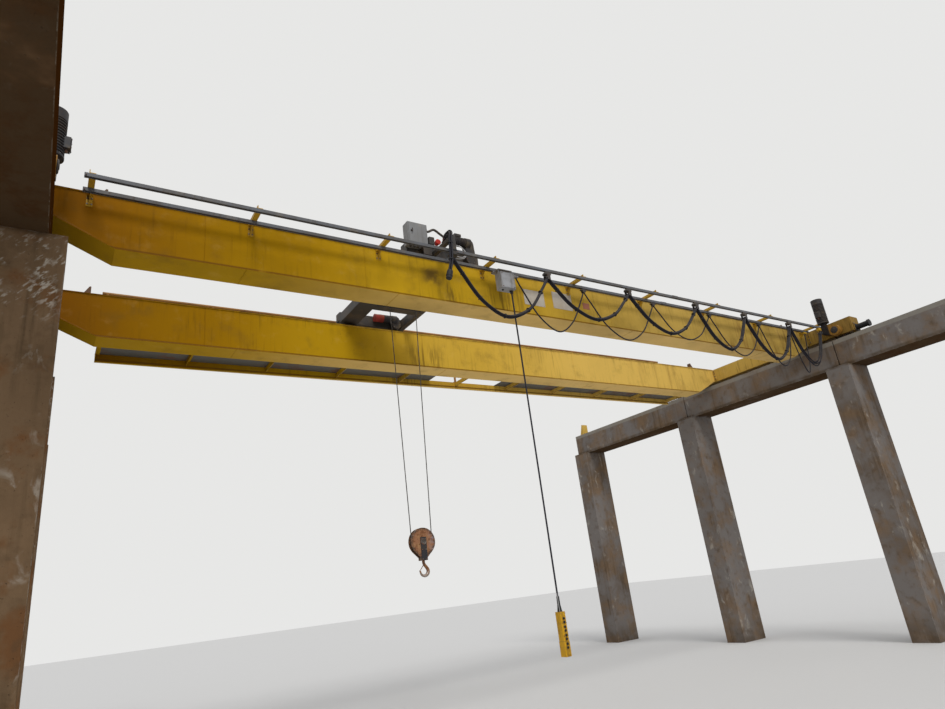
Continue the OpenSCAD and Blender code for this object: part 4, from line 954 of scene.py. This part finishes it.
def runway_fittings():
    """Clips and bolts that hold the crane rails to the concrete beams."""
    low, high = box("crane_rails")
    foot_half, spacing, margin = 0.070, 0.55, 0.2
    run = high.y - low.y - 2 * margin
    count = int(run / spacing)
    z = low.z
    shape = Shape()
    for side, k, flank in itertools.product((-1, 1), range(count + 1), (-1, 1)):
        y = low.y + margin + run * k / count
        edge = side * CRANE_RAIL_X + flank * foot_half
        foot = (edge + flank * 0.001, edge + flank * 0.072)
        clip = (edge - flank * 0.016, edge + flank * 0.045)
        shape.wear(0).plate(foot, pair(y, 0.040), (z, z + 0.014), 0.003)
        shape.plate(clip, pair(y, 0.036), (z + 0.011, z + 0.022), 0.003)
        shape.wear(1).bolt((edge + flank * 0.030, y, z + 0.022), UP, 0.026)
    shape.ride("rail_clips", "runway", "rail_steel", crane_rail, bolt_steel)


runway_fittings()


# Bridge

GIRDER_KINK = 6.142
GIRDER_END_Z = 5.800
FLANGE_OUT = 0.010
FLANGE = 0.012
near_low, near_high = box("front_girder")
far_low, far_high = box("back_girder")
web_near = near_low.y + FLANGE_OUT


def girder_welds(name, low, high, splices, look):
    """Weld beads of a girder's webs and flanges, and the butt welds between its plates."""
    bead, sides = 0.0045, 6
    left, right = low.x + 0.02, high.x - 0.02
    top, bottom, end_z = high.z - FLANGE, low.z + FLANGE, GIRDER_END_Z + FLANGE
    shape = Shape()
    for y in (low.y + FLANGE_OUT, high.y - FLANGE_OUT):
        lines = [[(left, y, top), (right, y, top)],
                 [(left, y, end_z), (-GIRDER_KINK, y, bottom), (GIRDER_KINK, y, bottom), (right, y, end_z)]]
        lines += [[(x, y, bottom), (x + 0.003, y, (top + bottom) / 2), (x, y, top)] for x in splices]
        for line in lines:
            shape.tube(line, bead, sides)
    for x in splices:
        shape.tube([(x + 0.45, low.y + 0.002, low.z), (x + 0.45, high.y - 0.002, low.z)], bead, sides)
    shape.ride(name, "bridge", "crane_yellow", look)


girder_welds("front_girder_welds", near_low, near_high, (-5.28, -3.355, 0.95, 4.60), near_yellow)
girder_welds("back_girder_welds", far_low, far_high, (-4.80, -1.20, 2.30, 5.20), far_yellow)


def rail_welds():
    """Short welds that hold the trolley rails, on both flanks by turns."""
    low, high = box("trolley_rails")
    foot_half, z, step, margin = 0.020, near_high.z, 0.32, 0.2
    shape = Shape()
    for middle_y in ((near_low.y + near_high.y) / 2, (far_low.y + far_high.y) / 2):
        for k in range(int((high.x - low.x - 2 * margin) / step)):
            for flank in (-1, 1):
                x = low.x + margin + k * step + (0.5 * step if flank > 0 else 0)
                y = middle_y + flank * foot_half
                shape.tube([(x, y, z), (x + 0.03, y, z + 0.001), (x + 0.07, y, z)], 0.005, 6)
    shape.ride("trolley_rail_welds", "bridge", "rail_steel", trolley_rail)


rail_welds()


def notice_plates():
    """Bare plates on the near girder's web, each on four rivets."""
    thick, rivet_in = 0.003, 0.015
    shape = Shape()
    for kind, left, right, low, high in ((0, -0.81, -0.42, 5.640, 5.890), (0, -0.25, 0.14, 5.655, 5.935),
                                         (1, 0.37, 0.51, 5.730, 5.835)):
        shape.wear(kind).plate((left, right), (web_near - thick, web_near), (low, high), 0.001)
        shape.kind = 2
        for x in (left + rivet_in, right - rivet_in):
            for z in (low + rivet_in, high - rivet_in):
                shape.turned((x, web_near - thick, z), -Y, [(0, 0.005), (0.0015, 0.004), (0.002, 0.002)], 10)
    shape.ride("bare_notice_plates", "bridge", "gray_steel", bare_plate, faded_plate, bolt_steel)


notice_plates()


def carriage_fittings(name, side):
    """Bearing covers, buffer flanges, rail sweeps and girder bolts of one end carriage."""
    low, high = box(name)
    rail_top, wheel_y = 5.755, 2.053
    middle_x = (low.x + high.x) / 2
    cover = [(0, 0.090), (0.006, 0.092), (0.008, 0.070), (0.010, 0.044), (0.012, 0.040)]
    shape = Shape()
    for y in (-wheel_y, wheel_y):
        for face, way in ((low.x, -X), (high.x, X)):
            place = Vector((face, y, BRIDGE_WHEEL_Z)) - way * 0.014
            keeper = face + way.x * 0.008
            shape.wear(1).turned(place, way, cover, 28)
            shape.wear(2).bolt_ring(place + way * 0.007, 0.078, turns(4, 0.5), way, 0.013)
            shape.wear(1).plate((face, keeper), pair(y, 0.050), pair(BRIDGE_WHEEL_Z - 0.040, 0.012))
            shape.wear(2).bolts(keeper, pair(y, 0.038), BRIDGE_WHEEL_Z - 0.040, way, 0.012)
    for y, way in ((low.y, -Y), (high.y, Y)):
        flange = y + way.y * 0.012
        sweep = (y - way.y * 0.05, y - way.y * 0.038)
        shape.wear(0).plate(pair(middle_x, 0.105), (y, flange), (low.z + 0.004, low.z + 0.165))
        shape.plate(pair(middle_x, 0.055), sweep, (rail_top + 0.008, low.z + 0.002))
        shape.wear(2).bolts(pair(middle_x, 0.088), flange, (low.z + 0.022, low.z + 0.147), way, 0.020)
    inner = low.x if side > 0 else high.x
    flange = inner - side * 0.014
    levels = [low.z + rise for rise in (0.065, 0.130, 0.195, 0.245)]
    for middle_y in (-GIRDER_Y, GIRDER_Y):
        for y in pair(middle_y, 0.225):
            shape.wear(0).plate((inner, flange), pair(y, 0.040), (low.z + 0.035, high.z - 0.03))
            shape.wear(2).bolts(flange, y, levels, X * -side, 0.024)
    shape.ride(f"{name}_fittings", "bridge", "crane_yellow", end_yellow, dark_enamel, bolt_steel)


carriage_fittings("left_end_carriage", -1)
carriage_fittings("right_end_carriage", 1)


def drive_fittings():
    """Fan guards, lugs, flange bolts, terminal covers and bearing covers of the two travel drives."""
    top = box("bridge_drives")[1].z
    y, flange_top = -1.853, 6.125
    shape = Shape()
    for side in (-1, 1):
        x = side * 6.769
        cover = x - side * 0.151
        face = cover - side * 0.008
        shape.wear(1).grille((x, y, top + 0.002), UP, 0.111)
        shape.bolt_ring((x, y, flange_top), 0.100, turns(4, 0.5), UP, 0.016, (X, Y))
        shape.wear(0).plate((face, cover), pair(y, 0.046), (6.226, 6.344), 0.003)
        shape.plate((x + side * 0.108, x + side * 0.122), pair(y, 0.008), (6.50, 6.60))
        shape.wear(1).bolts(face, pair(y, 0.036), (6.238, 6.332), X * -side, 0.008)
        shape.turned((x - side * 0.116, y, 6.220), -UP, [(0, 0.016), (0.018, 0.016), (0.030, 0.012)])
        shape.wear(0).turned((side * 6.704, y - 0.200, BRIDGE_WHEEL_Z), -X * side,
                     [(0, 0.070), (0.010, 0.070), (0.018, 0.058), (0.018, 0.030), (0.024, 0.028)], 28)
    shape.ride("drive_fittings", "bridge", "dark_steel", drive_dark, bolt_steel)


drive_fittings()


def walkway_fittings():
    """Post feet, sleeves, floor bolts and seams of the walkway."""
    low, high = box("walkway_frame")
    rail_top = box("walkway_handrail")[1].z
    post_y, posts, margin = 1.976, 9, 0.1
    floor_z, foot_top, seam_top = high.z, high.z + 0.008, high.z + 0.004
    feet = Shape()
    for k in range(posts):
        x = low.x + margin + (high.x - low.x - 2 * margin) * k / (posts - 1)
        feet.wear(0).plate(pair(x, 0.050), (post_y - 0.020, post_y + 0.029), (floor_z, foot_top))
        feet.turned((x, post_y, foot_top), UP, [(0, 0.027), (0.006, 0.023)], 20)
        feet.turned((x, post_y, rail_top - 0.046), UP, [(0, 0.0215), (0.006, 0.0245), (0.014, 0.0215)], 20)
        feet.wear(1).bolts(pair(x, 0.038), post_y, foot_top, UP, 0.016)
    feet.ride("walkway_post_feet", "bridge", "rail_orange", rail_orange, bolt_steel)
    low, high = box("walkway_floor")
    seams = Shape()
    for x in (-4.70, -3.30, -1.90, 2.30, 3.70, 5.00):
        seams.wear(0).plate(pair(x, 0.025), (low.y + 0.02, high.y - 0.01), (floor_z, seam_top), 0.001)
        seams.wear(1).bolts(x, [low.y + 0.06 + 0.14 * k for k in range(4)], seam_top, UP, 0.014)
    seams.ride("walkway_floor_seams", "bridge", "gray_steel", floor_plate, bolt_steel)


walkway_fittings()


def track_fittings():
    """Bracket bolts, joint sleeves, end bolts and the straps of the fixed clamps."""
    low, high = box("festoon_rails")
    arms, arm_w, plate, inset, sleeve = 9, 0.060, 0.008, 0.040, 0.004
    first, last = low.x + inset, high.x - inset - arm_w
    shape = Shape()
    for k in range(arms):
        x = first + (last - first) * k / (arms - 1) + arm_w / 2
        for z in (high.z - 0.095, high.z - 0.030):
            shape.bolts(pair(x, 0.019), web_near - plate, z, -Y, 0.015)
        shape.bolts(x + 0.014, (light_y, heavy_y), high.z + plate, UP, 0.015)
    for y in (light_y, heavy_y):
        for x in (-2.15, 2.15):
            shape.kind = 1
            for flank in (-1, 1):
                shape.plate(pair(x, 0.07), (y + flank * 0.020, y + flank * (0.020 + sleeve)),
                            (low.z + sleeve, high.z + sleeve), 0.001)
            shape.plate(pair(x, 0.07), pair(y, 0.020), (high.z, high.z + sleeve), 0.001)
            shape.kind = 0
            for bolt_x in pair(x, 0.045):
                for flank in (-1, 1):
                    shape.bolt((bolt_x, y + flank * (0.020 + sleeve), (low.z + high.z) / 2), Y * flank, 0.010)
        for x in (low.x + 0.015, high.x - 0.015):
            shape.rod((x, y - 0.034, low.z + 0.012), (x, y + 0.034, low.z + 0.012), 0.006)
    for x, y, z, cable in ((HEAVY_ROUTE[-1][0], heavy_y, HEAVY_TOP, HEAVY_BUNDLE),
                           (LIGHT_ROUTE[-1][0], light_y, LIGHT_TOP, LIGHT_CABLE)):
        for strap_x in pair(x, 0.030):
            shape.wear(1).band((strap_x, y, z), cable / 2 + 0.001, math.pi, 2 * math.pi, 0.018, 0.003)
            shape.kind = 0
            for stud_y in pair(y, cable / 2 + 0.004):
                place = Vector((strap_x, stud_y, z))
                shape.rod(place, place + UP * (cable / 2 + 0.008), 0.003, 8)
    shape.ride("track_fittings", "bridge", "gray_steel", bolt_steel, track_gray)


track_fittings()


def carrier_fittings():
    """Bolted side plates that keep the cables under each carrier's saddle."""
    thick = 0.003
    for kind, y, top, cable in (("heavy", heavy_y, HEAVY_TOP, HEAVY_BUNDLE),
                                ("light", light_y, LIGHT_TOP, LIGHT_CABLE)):
        out, drop = cable / 2 + 0.006, cable / 2 + 0.010
        for i in range(1, 6):
            name = f"{kind}_carrier_{i}"
            x = middle(name).x
            shape = Shape()
            for flank in (-1, 1):
                face = y + flank * (out + thick)
                shape.wear(0).plate(pair(x, 0.030), (y + flank * out, face), pair(top, drop))
                shape.wear(1).bolts(pair(x, 0.018), face, top + 0.5 * drop, Y * flank, 0.010)
            shape.ride(f"{name}_cheeks", f"{name}_body", "dark_steel", dark_enamel, bolt_steel)


carrier_fittings()


# Trolley


def gear_rim():
    """Bolts round the flange of the hoist's gear case, its breather, gauge and lifting eye."""
    low, high = box("hoist_gearbox")
    rim_x, rim_half, bolt = -2.575, 0.012, 0.012
    slow_rim, fast_rim = 0.206, 0.156
    slow = Vector((rim_x, DRUM_Y, DRUM_Z))
    fast = Vector((rim_x, MOTOR_Y, MOTOR_Z))
    shape = Shape()
    for side in (-1, 1):
        face = X * (side * rim_half)
        shape.bolt_ring(slow + face, slow_rim, [math.radians(100 + 20 * k) for k in range(9)], X * side, bolt)
        shape.bolt_ring(fast + face, fast_rim, [math.radians(-84 + 24 * k) for k in range(7)], X * side, bolt)
    for share in (0.2, 0.5, 0.8):
        place = slow.lerp(fast, share)
        rise = slow_rim + (fast_rim - slow_rim) * share
        for side in (-1, 1):
            for z in (rise, -rise):
                shape.bolt(place + Vector((side * rim_half, 0, z)), X * side, bolt)
    shape.wear(1).eye(slow + Vector((-0.045, 0.02, 0.198)))
    shape.turned(fast + Vector((0.045, -0.05, 0.146)), UP,
                 [(0, 0.018), (0.012, 0.018), (0.016, 0.024), (0.036, 0.024), (0.042, 0.014)])
    shape.turned((low.x + 0.038, 0.10, 6.46), -X, [(0, 0.022), (0.006, 0.022), (0.009, 0.015)])
    for place, radius in ((slow, 0.100), (fast, 0.093)):
        shape.bolt_ring((high.x - 0.190, place.y, place.z), radius, turns(6), -X, 0.014)
    shape.ride("gear_case_fittings", "crab", "green_steel", bolt_steel, green_enamel)


def hoist_fittings():
    """Fan guard, eye, feet and terminal lid of the hoist motor, and the drum's and its bearing's bolts."""
    left, right, base, lid_z = -2.480, -1.960, CRAB_TOP, MOTOR_Z + 0.180
    shape = Shape()
    shape.wear(1).grille((right + 0.002, MOTOR_Y, MOTOR_Z), X, 0.118)
    shape.eye((-2.12, MOTOR_Y, MOTOR_Z + 0.122))
    for x in (left + 0.100, right - 0.180):
        for dy in (-0.052, 0.052):
            shape.plate((x + 0.005, x + 0.055), pair(MOTOR_Y + dy, 0.030), (base, base + 0.014))
            shape.bolt((x + 0.030, MOTOR_Y + dy * 1.25, base + 0.014), UP, 0.020)
    shape.wear(0).plate((left + 0.145, left + 0.295), pair(MOTOR_Y, 0.065), (lid_z, lid_z + 0.008))
    shape.wear(1).bolts((left + 0.158, left + 0.282), pair(MOTOR_Y, 0.053), lid_z + 0.008, UP, 0.009)
    for x, way in ((-2.450, -X), (-1.750, X)):
        shape.bolt_ring((x, DRUM_Y, DRUM_Z), 0.178, turns(8), way, 0.020)
    shape.bolts(-1.700, pair(DRUM_Y, 0.104), base + 0.020, UP, 0.022)
    cap = [(0, 0.072), (0.008, 0.072), (0.014, 0.060), (0.016, 0.020)]
    shape.turned((-1.670, DRUM_Y, DRUM_Z), X, cap, 24)
    shape.ride("hoist_fittings", "crab", "dark_steel", green_enamel, bolt_steel)


def trolley_drive_fittings():
    """Case bolts, fan guards and terminal covers of the trolley's two drives."""
    wheel_x, guard_x = -1.675, -2.069
    shape = Shape()
    for face_y, input_z in ((-1.4038, 6.480), (1.0432, 6.300)):
        shape.bolt_ring((wheel_x, face_y, CRAB_AXLE_Z), 0.070, turns(8), -Y, 0.011, (X, UP))
        shape.bolt_ring((wheel_x, face_y, input_z), 0.050, (0.3, 1.57, 2.84), -Y, 0.011, (X, UP))
        shape.grille((guard_x, face_y + 0.020, input_z), -X, 0.066)
    shape.wear(1).plate((-1.93, -1.82), (-1.424, -1.344), (6.548, 6.592), 0.003)
    shape.ride("trolley_drive_fittings", "crab", "dark_steel", bolt_steel, drive_dark)


def panel_fittings():
    """Handle, hinges, glands, plug and conduit of the electrical box, and its bracket and small box below."""
    low, high = box("electrical_box")
    front, hinge_x, pipe = low.y, high.x - 0.010, 0.017
    handle = Vector((low.x + 0.055, front, low.z + 0.190))
    plug = Vector((-2.181, -1.304, 6.427))
    shape = Shape()
    for z in (low.z + 0.060, high.z - 0.060):
        shape.rod((hinge_x, front + 0.003, z - 0.022), (hinge_x, front + 0.003, z + 0.022), 0.006)
    shape.wear(1).turned(handle, -Y, [(0, 0.017), (0.006, 0.017), (0.010, 0.011), (0.016, 0.011)])
    shape.plate(pair(handle.x, 0.006), (front - 0.026, front - 0.016), pair(handle.z, 0.030), 0.002)
    for k in range(4):
        place = Vector((low.x + 0.055 + 0.060 * k, (front + high.y) / 2, low.z))
        shape.turned(place, -UP, [(0, 0.017), (0.010, 0.017), (0.012, 0.013), (0.024, 0.011)], 8)
    shape.plate((-2.480, -2.350), (high.y - 0.135, high.y - 0.128), (6.135, 6.262), 0.002)
    shape.plate((-2.480, -2.350), (high.y - 0.135, high.y), (6.240, 6.247), 0.002)
    shape.plate((-2.385, -2.300), (front - 0.005, high.y), (6.300, 6.420), 0.005)
    grip = [(0, 0.036), (0.030, 0.036), (0.034, 0.042), (0.060, 0.042), (0.066, 0.034)]
    shape.wear(2).turned(plug, -Y, grip, 24)
    shape.wear(1).turned(plug, Y, [(0, 0.030), (0.006, 0.030)], 20)
    conduit = smooth_path([(-2.400, -1.380, 6.530), (-2.336, -1.382, 6.545), (-2.253, -1.386, 6.590),
                           (-2.161, -1.386, 6.545), (-2.090, -1.384, 6.505)], 6)
    shape.tube(conduit, pipe, 12)
    for place in (conduit[1], conduit[-2]):
        shape.hoop(place, X, pipe + 0.002, 0.010, 16)
    shape.ride("panel_fittings", "crab", "gray_steel", panel_gray, dark_enamel, bright_red)


def tow_bundle():
    """The heavy bundle from the trolley's frame over the tracks, tied to the tow arm, down to its plug."""
    path = smooth_path([(-2.120, CRAB_FACE_Y, 6.345), (-2.125, -1.380, 6.360), (-2.150, -1.480, 6.375),
                        (-2.200, -1.600, 6.365), (-2.260, -1.720, 6.330), (-2.300, -1.840, 6.282),
                        (-2.337, -1.922, 6.205), (-2.360, -1.932, 6.100), (-2.370, -1.932, 5.900),
                        (-2.385, -1.932, 5.770), (-2.415, -1.932, 5.650)], 5)
    shape = Shape()
    for out, over in HEAVY_STRANDS:
        shape.tube([place + side * out + across * over for place, side, across in frames_along(path)],
                   HEAVY_STRAND / 2, 12)
    tied(shape, path, 0.037, 0.24)
    bundle = shape.ride("tow_bundle", "crab", "rubber_black", cable_sheath, black_rubber)
    plug = Shape()
    plug.turned(path[-1] - UP * 0.006, path[-1] - path[-2],
                [(0, 0.034), (0.016, 0.039), (0.030, 0.041), (0.070, 0.041), (0.074, 0.044), (0.088, 0.044),
                 (0.092, 0.040), (0.126, 0.038), (0.134, 0.030)], 28)
    plug_end = plug.ride("tow_bundle_plug", "crab", "rubber_black", black_rubber)
    ties = Shape()
    for kind, y, z in ((0, -1.871, 6.225), (1, -1.881, 6.000)):
        ties.wear(kind).plate((TOW_X - 0.075, TOW_X + 0.034), (y - 0.004, y + 0.001), pair(z, 0.012))
    ties.ride("tow_arm_ties", "crab", "dark_steel", dark_enamel, black_rubber)


def pale_loops():
    """Two pale control cables that curl from the trolley drive's motor into the frame."""
    radius = 0.0065
    for name, route in (
            ("pale_loop",
             [(-1.930, -1.400, 6.412), (-1.915, -1.440, 6.375), (-1.880, -1.490, 6.320),
              (-1.850, -1.520, 6.245), (-1.865, -1.530, 6.175), (-1.930, -1.525, 6.140),
              (-2.000, -1.505, 6.160), (-2.035, -1.475, 6.225), (-2.020, -1.430, 6.285),
              (-1.985, -1.370, 6.300), (-1.970, CRAB_FACE_Y, 6.300)]),
            ("short_pale_loop",
             [(-1.860, -1.400, 6.412), (-1.840, -1.425, 6.370), (-1.800, -1.440, 6.310),
              (-1.790, -1.445, 6.240), (-1.830, -1.435, 6.190), (-1.880, -1.400, 6.190),
              (-1.900, -1.350, 6.215), (-1.900, CRAB_FACE_Y, 6.220)])):
        path = smooth_path(route, 6)
        shape = Shape()
        shape.tube(path, radius, 12)
        loop = shape.ride(name, "crab", "gray_steel", pale_sheath)


def frame_fittings():
    """Axle covers and joint bolts of the trolley's frame. The near drive covers one axle's end."""
    washer = [(0, 0.046), (0.006, 0.046), (0.010, 0.038)]
    shape = Shape()
    for side, x in ((-1, -2.485), (1, -2.485), (1, -1.675)):
        face = -side * CRAB_FACE_Y
        centre = Vector((x, face + side * 0.008, CRAB_AXLE_Z))
        shape.wear(1).turned((x, face, CRAB_AXLE_Z), Y * side, washer, 24)
        shape.wear(0).bolt_ring(centre, 0.036, turns(4, 0.5), Y * side, 0.009, (X, UP))
    shape.bolts((-2.640, -2.520, -2.400, -1.560, -1.510), (-1.110, 1.110), CRAB_TOP, UP, 0.018)
    shape.ride("crab_frame_fittings", "crab", "dark_steel", bolt_steel, dark_enamel)


gear_rim()
hoist_fittings()
trolley_drive_fittings()
panel_fittings()
tow_bundle()
pale_loops()
frame_fittings()


# Hook block and pendant


def block_fittings():
    """Strap bolts, pin washers and rim bolts of the hook block."""
    rim = 0.166
    beside_straps = [turn + 0.5 for turn in turns(6) if abs(rim * math.cos(turn + 0.5)) > 0.05]
    shape = Shape()
    for side in (-1, 1):
        strap = side * 0.052
        pin = Vector((HOOK_X, strap, SHEAVE_Z))
        shape.bolts(pair(HOOK_X, 0.030), strap, (2.240, 2.365, 2.505), Y * side, 0.014)
        shape.turned(pin, Y * side, [(0, 0.042), (0.005, 0.042), (0.006, 0.031)], 24)
        shape.bolt_ring((HOOK_X, side * 0.044, SHEAVE_Z), rim, beside_straps, Y * side, 0.012, (X, UP))
    shape.ride("block_fittings", "hook_block", "block_rust", bolt_steel)


def latch_spring():
    """Spring and pivot of the hook's latch."""
    coils, per_coil, rise = 3, 12, 0.0003
    pivot = Vector((HOOK_X, 0, 2.190))
    shape = Shape()
    for side in (-1, 1):
        path = [around(pivot + Y * (side * (0.012 + rise * k)), 0.009, 2 * math.pi * k / per_coil, (X, UP))
                for k in range(coils * per_coil + 1)]
        shape.tube(path, 0.0014, 6)
    shape.rod(pivot - Y * 0.028, pivot + Y * 0.028, 0.005)
    shape.ride("latch_spring", "hook", "forged_steel", bolt_steel)


def control_fittings():
    """Screws and joint of the pendant control, its sleeve and the strain wire beside its cable."""
    top = box("pendant_control")[1].z
    shape = Shape()
    for x in pair(CONTROL_X, 0.031):
        for z in (1.150, 1.290, 1.395):
            shape.turned((x, pendant_y - 0.050, z), -Y, [(0, 0.0045), (0.002, 0.0045), (0.003, 0.003)], 10)
    shape.wear(2).turned((CONTROL_X, pendant_y, top - 0.004), UP,
                 [(0, 0.017), (0.010, 0.019), (0.080, 0.017), (0.090, 0.013)])
    shape.kind = 1
    wire = [(CONTROL_X + dx, pendant_y + dy, top + dz) for dx, dy, dz in (
        (-0.024, -0.030, -0.092), (-0.030, -0.034, -0.040), (-0.028, -0.028, 0.060), (-0.012, -0.008, 0.120))]
    shape.tube(smooth_path(wire, 5), 0.0035, 8)
    shape.wear(2).plate(pair(CONTROL_X, 0.041), pair(pendant_y, 0.0512), (1.0865, 1.0905), 0.001)
    shape.ride("control_fittings", "pendant", "control_yellow", bolt_steel, pale_sheath, button_black)


def terminal_fittings():
    """Lid screws, gland nuts and hanger bolts of the pendant's terminal box."""
    left, right, low, high, inset = -1.450, -1.210, 5.660, 5.910, 0.024
    front = pendant_y - 0.065 - 0.006
    shape = Shape()
    for x in (left + inset, right - inset):
        for z in (low + inset, high - inset):
            shape.turned((x, front, z), -Y, [(0, 0.007), (0.004, 0.007), (0.005, 0.005)], 12)
    shape.wear(1).turned((-1.245, pendant_y, low), -UP,
                 [(0, 0.024), (0.012, 0.024), (0.014, 0.020), (0.026, 0.020), (0.028, 0.023), (0.036, 0.023),
                  (0.044, 0.014)], 12)
    for x in (left + 0.055, right - 0.055):
        shape.turned((x, pendant_y, low), -UP, [(0, 0.016), (0.010, 0.016), (0.014, 0.012)], 6)
    shape.wear(0).bolts((-1.405, -1.265, -1.060, -1.035), light_y - 0.026, 5.975, -Y, 0.011)
    shape.ride("terminal_fittings", "pendant", "gray_steel", bolt_steel, drive_dark)


block_fittings()
latch_spring()
control_fittings()
terminal_fittings()


# Floor and light


def floor_and_light():
    """Pale floor, pale background and soft light."""
    scene = bpy.context.scene
    scene.view_settings.view_transform = "Standard"
    size = 60
    corners = [Vector((x * size, y * size, 0)) for x, y in ((-1, -1), (1, -1), (1, 1), (-1, 1))]
    look = bpy.data.materials.new("floor_paint")
    look.use_nodes = True
    shader = look.node_tree.nodes["Principled BSDF"]
    shader.inputs["Base Color"].default_value = (0.60, 0.59, 0.57, 1)
    shader.inputs["Roughness"].default_value = 0.9
    floor = mesh_object("floor", corners, [(0, 1, 2, 3)], (look,))
    world = bpy.data.worlds.new("soft_sky")
    scene.world = world
    world.use_nodes = True
    tree = world.node_tree
    light = tree.nodes["Background"]
    light.inputs["Color"].default_value = (0.86, 0.88, 0.92, 1)
    light.inputs["Strength"].default_value = 0.75
    seen = tree.nodes.new("ShaderNodeBackground")
    seen.inputs["Color"].default_value = (0.80, 0.80, 0.79, 1)
    seen.inputs["Strength"].default_value = 1.0
    rays = tree.nodes.new("ShaderNodeLightPath")
    either = rays.outputs["Is Camera Ray"]
    for name in ("Is Glossy Ray", "Is Transmission Ray"):
        more = tree.nodes.new("ShaderNodeMath")
        more.operation = "MAXIMUM"
        tree.links.new(either, more.inputs[0])
        tree.links.new(rays.outputs[name], more.inputs[1])
        either = more.outputs[0]
    choice = tree.nodes.new("ShaderNodeMixShader")
    tree.links.new(either, choice.inputs[0])
    tree.links.new(light.outputs[0], choice.inputs[1])
    tree.links.new(seen.outputs[0], choice.inputs[2])
    tree.links.new(choice.outputs[0], tree.nodes["World Output"].inputs["Surface"])
    sun = bpy.data.lights.new("sun", "SUN")
    sun.energy = 1.6
    sun.angle = math.radians(25)
    lamp = bpy.data.objects.new("sun", sun)
    lamp.rotation_euler = (math.radians(42), math.radians(14), math.radians(-28))
    scene.collection.objects.link(lamp)


floor_and_light()
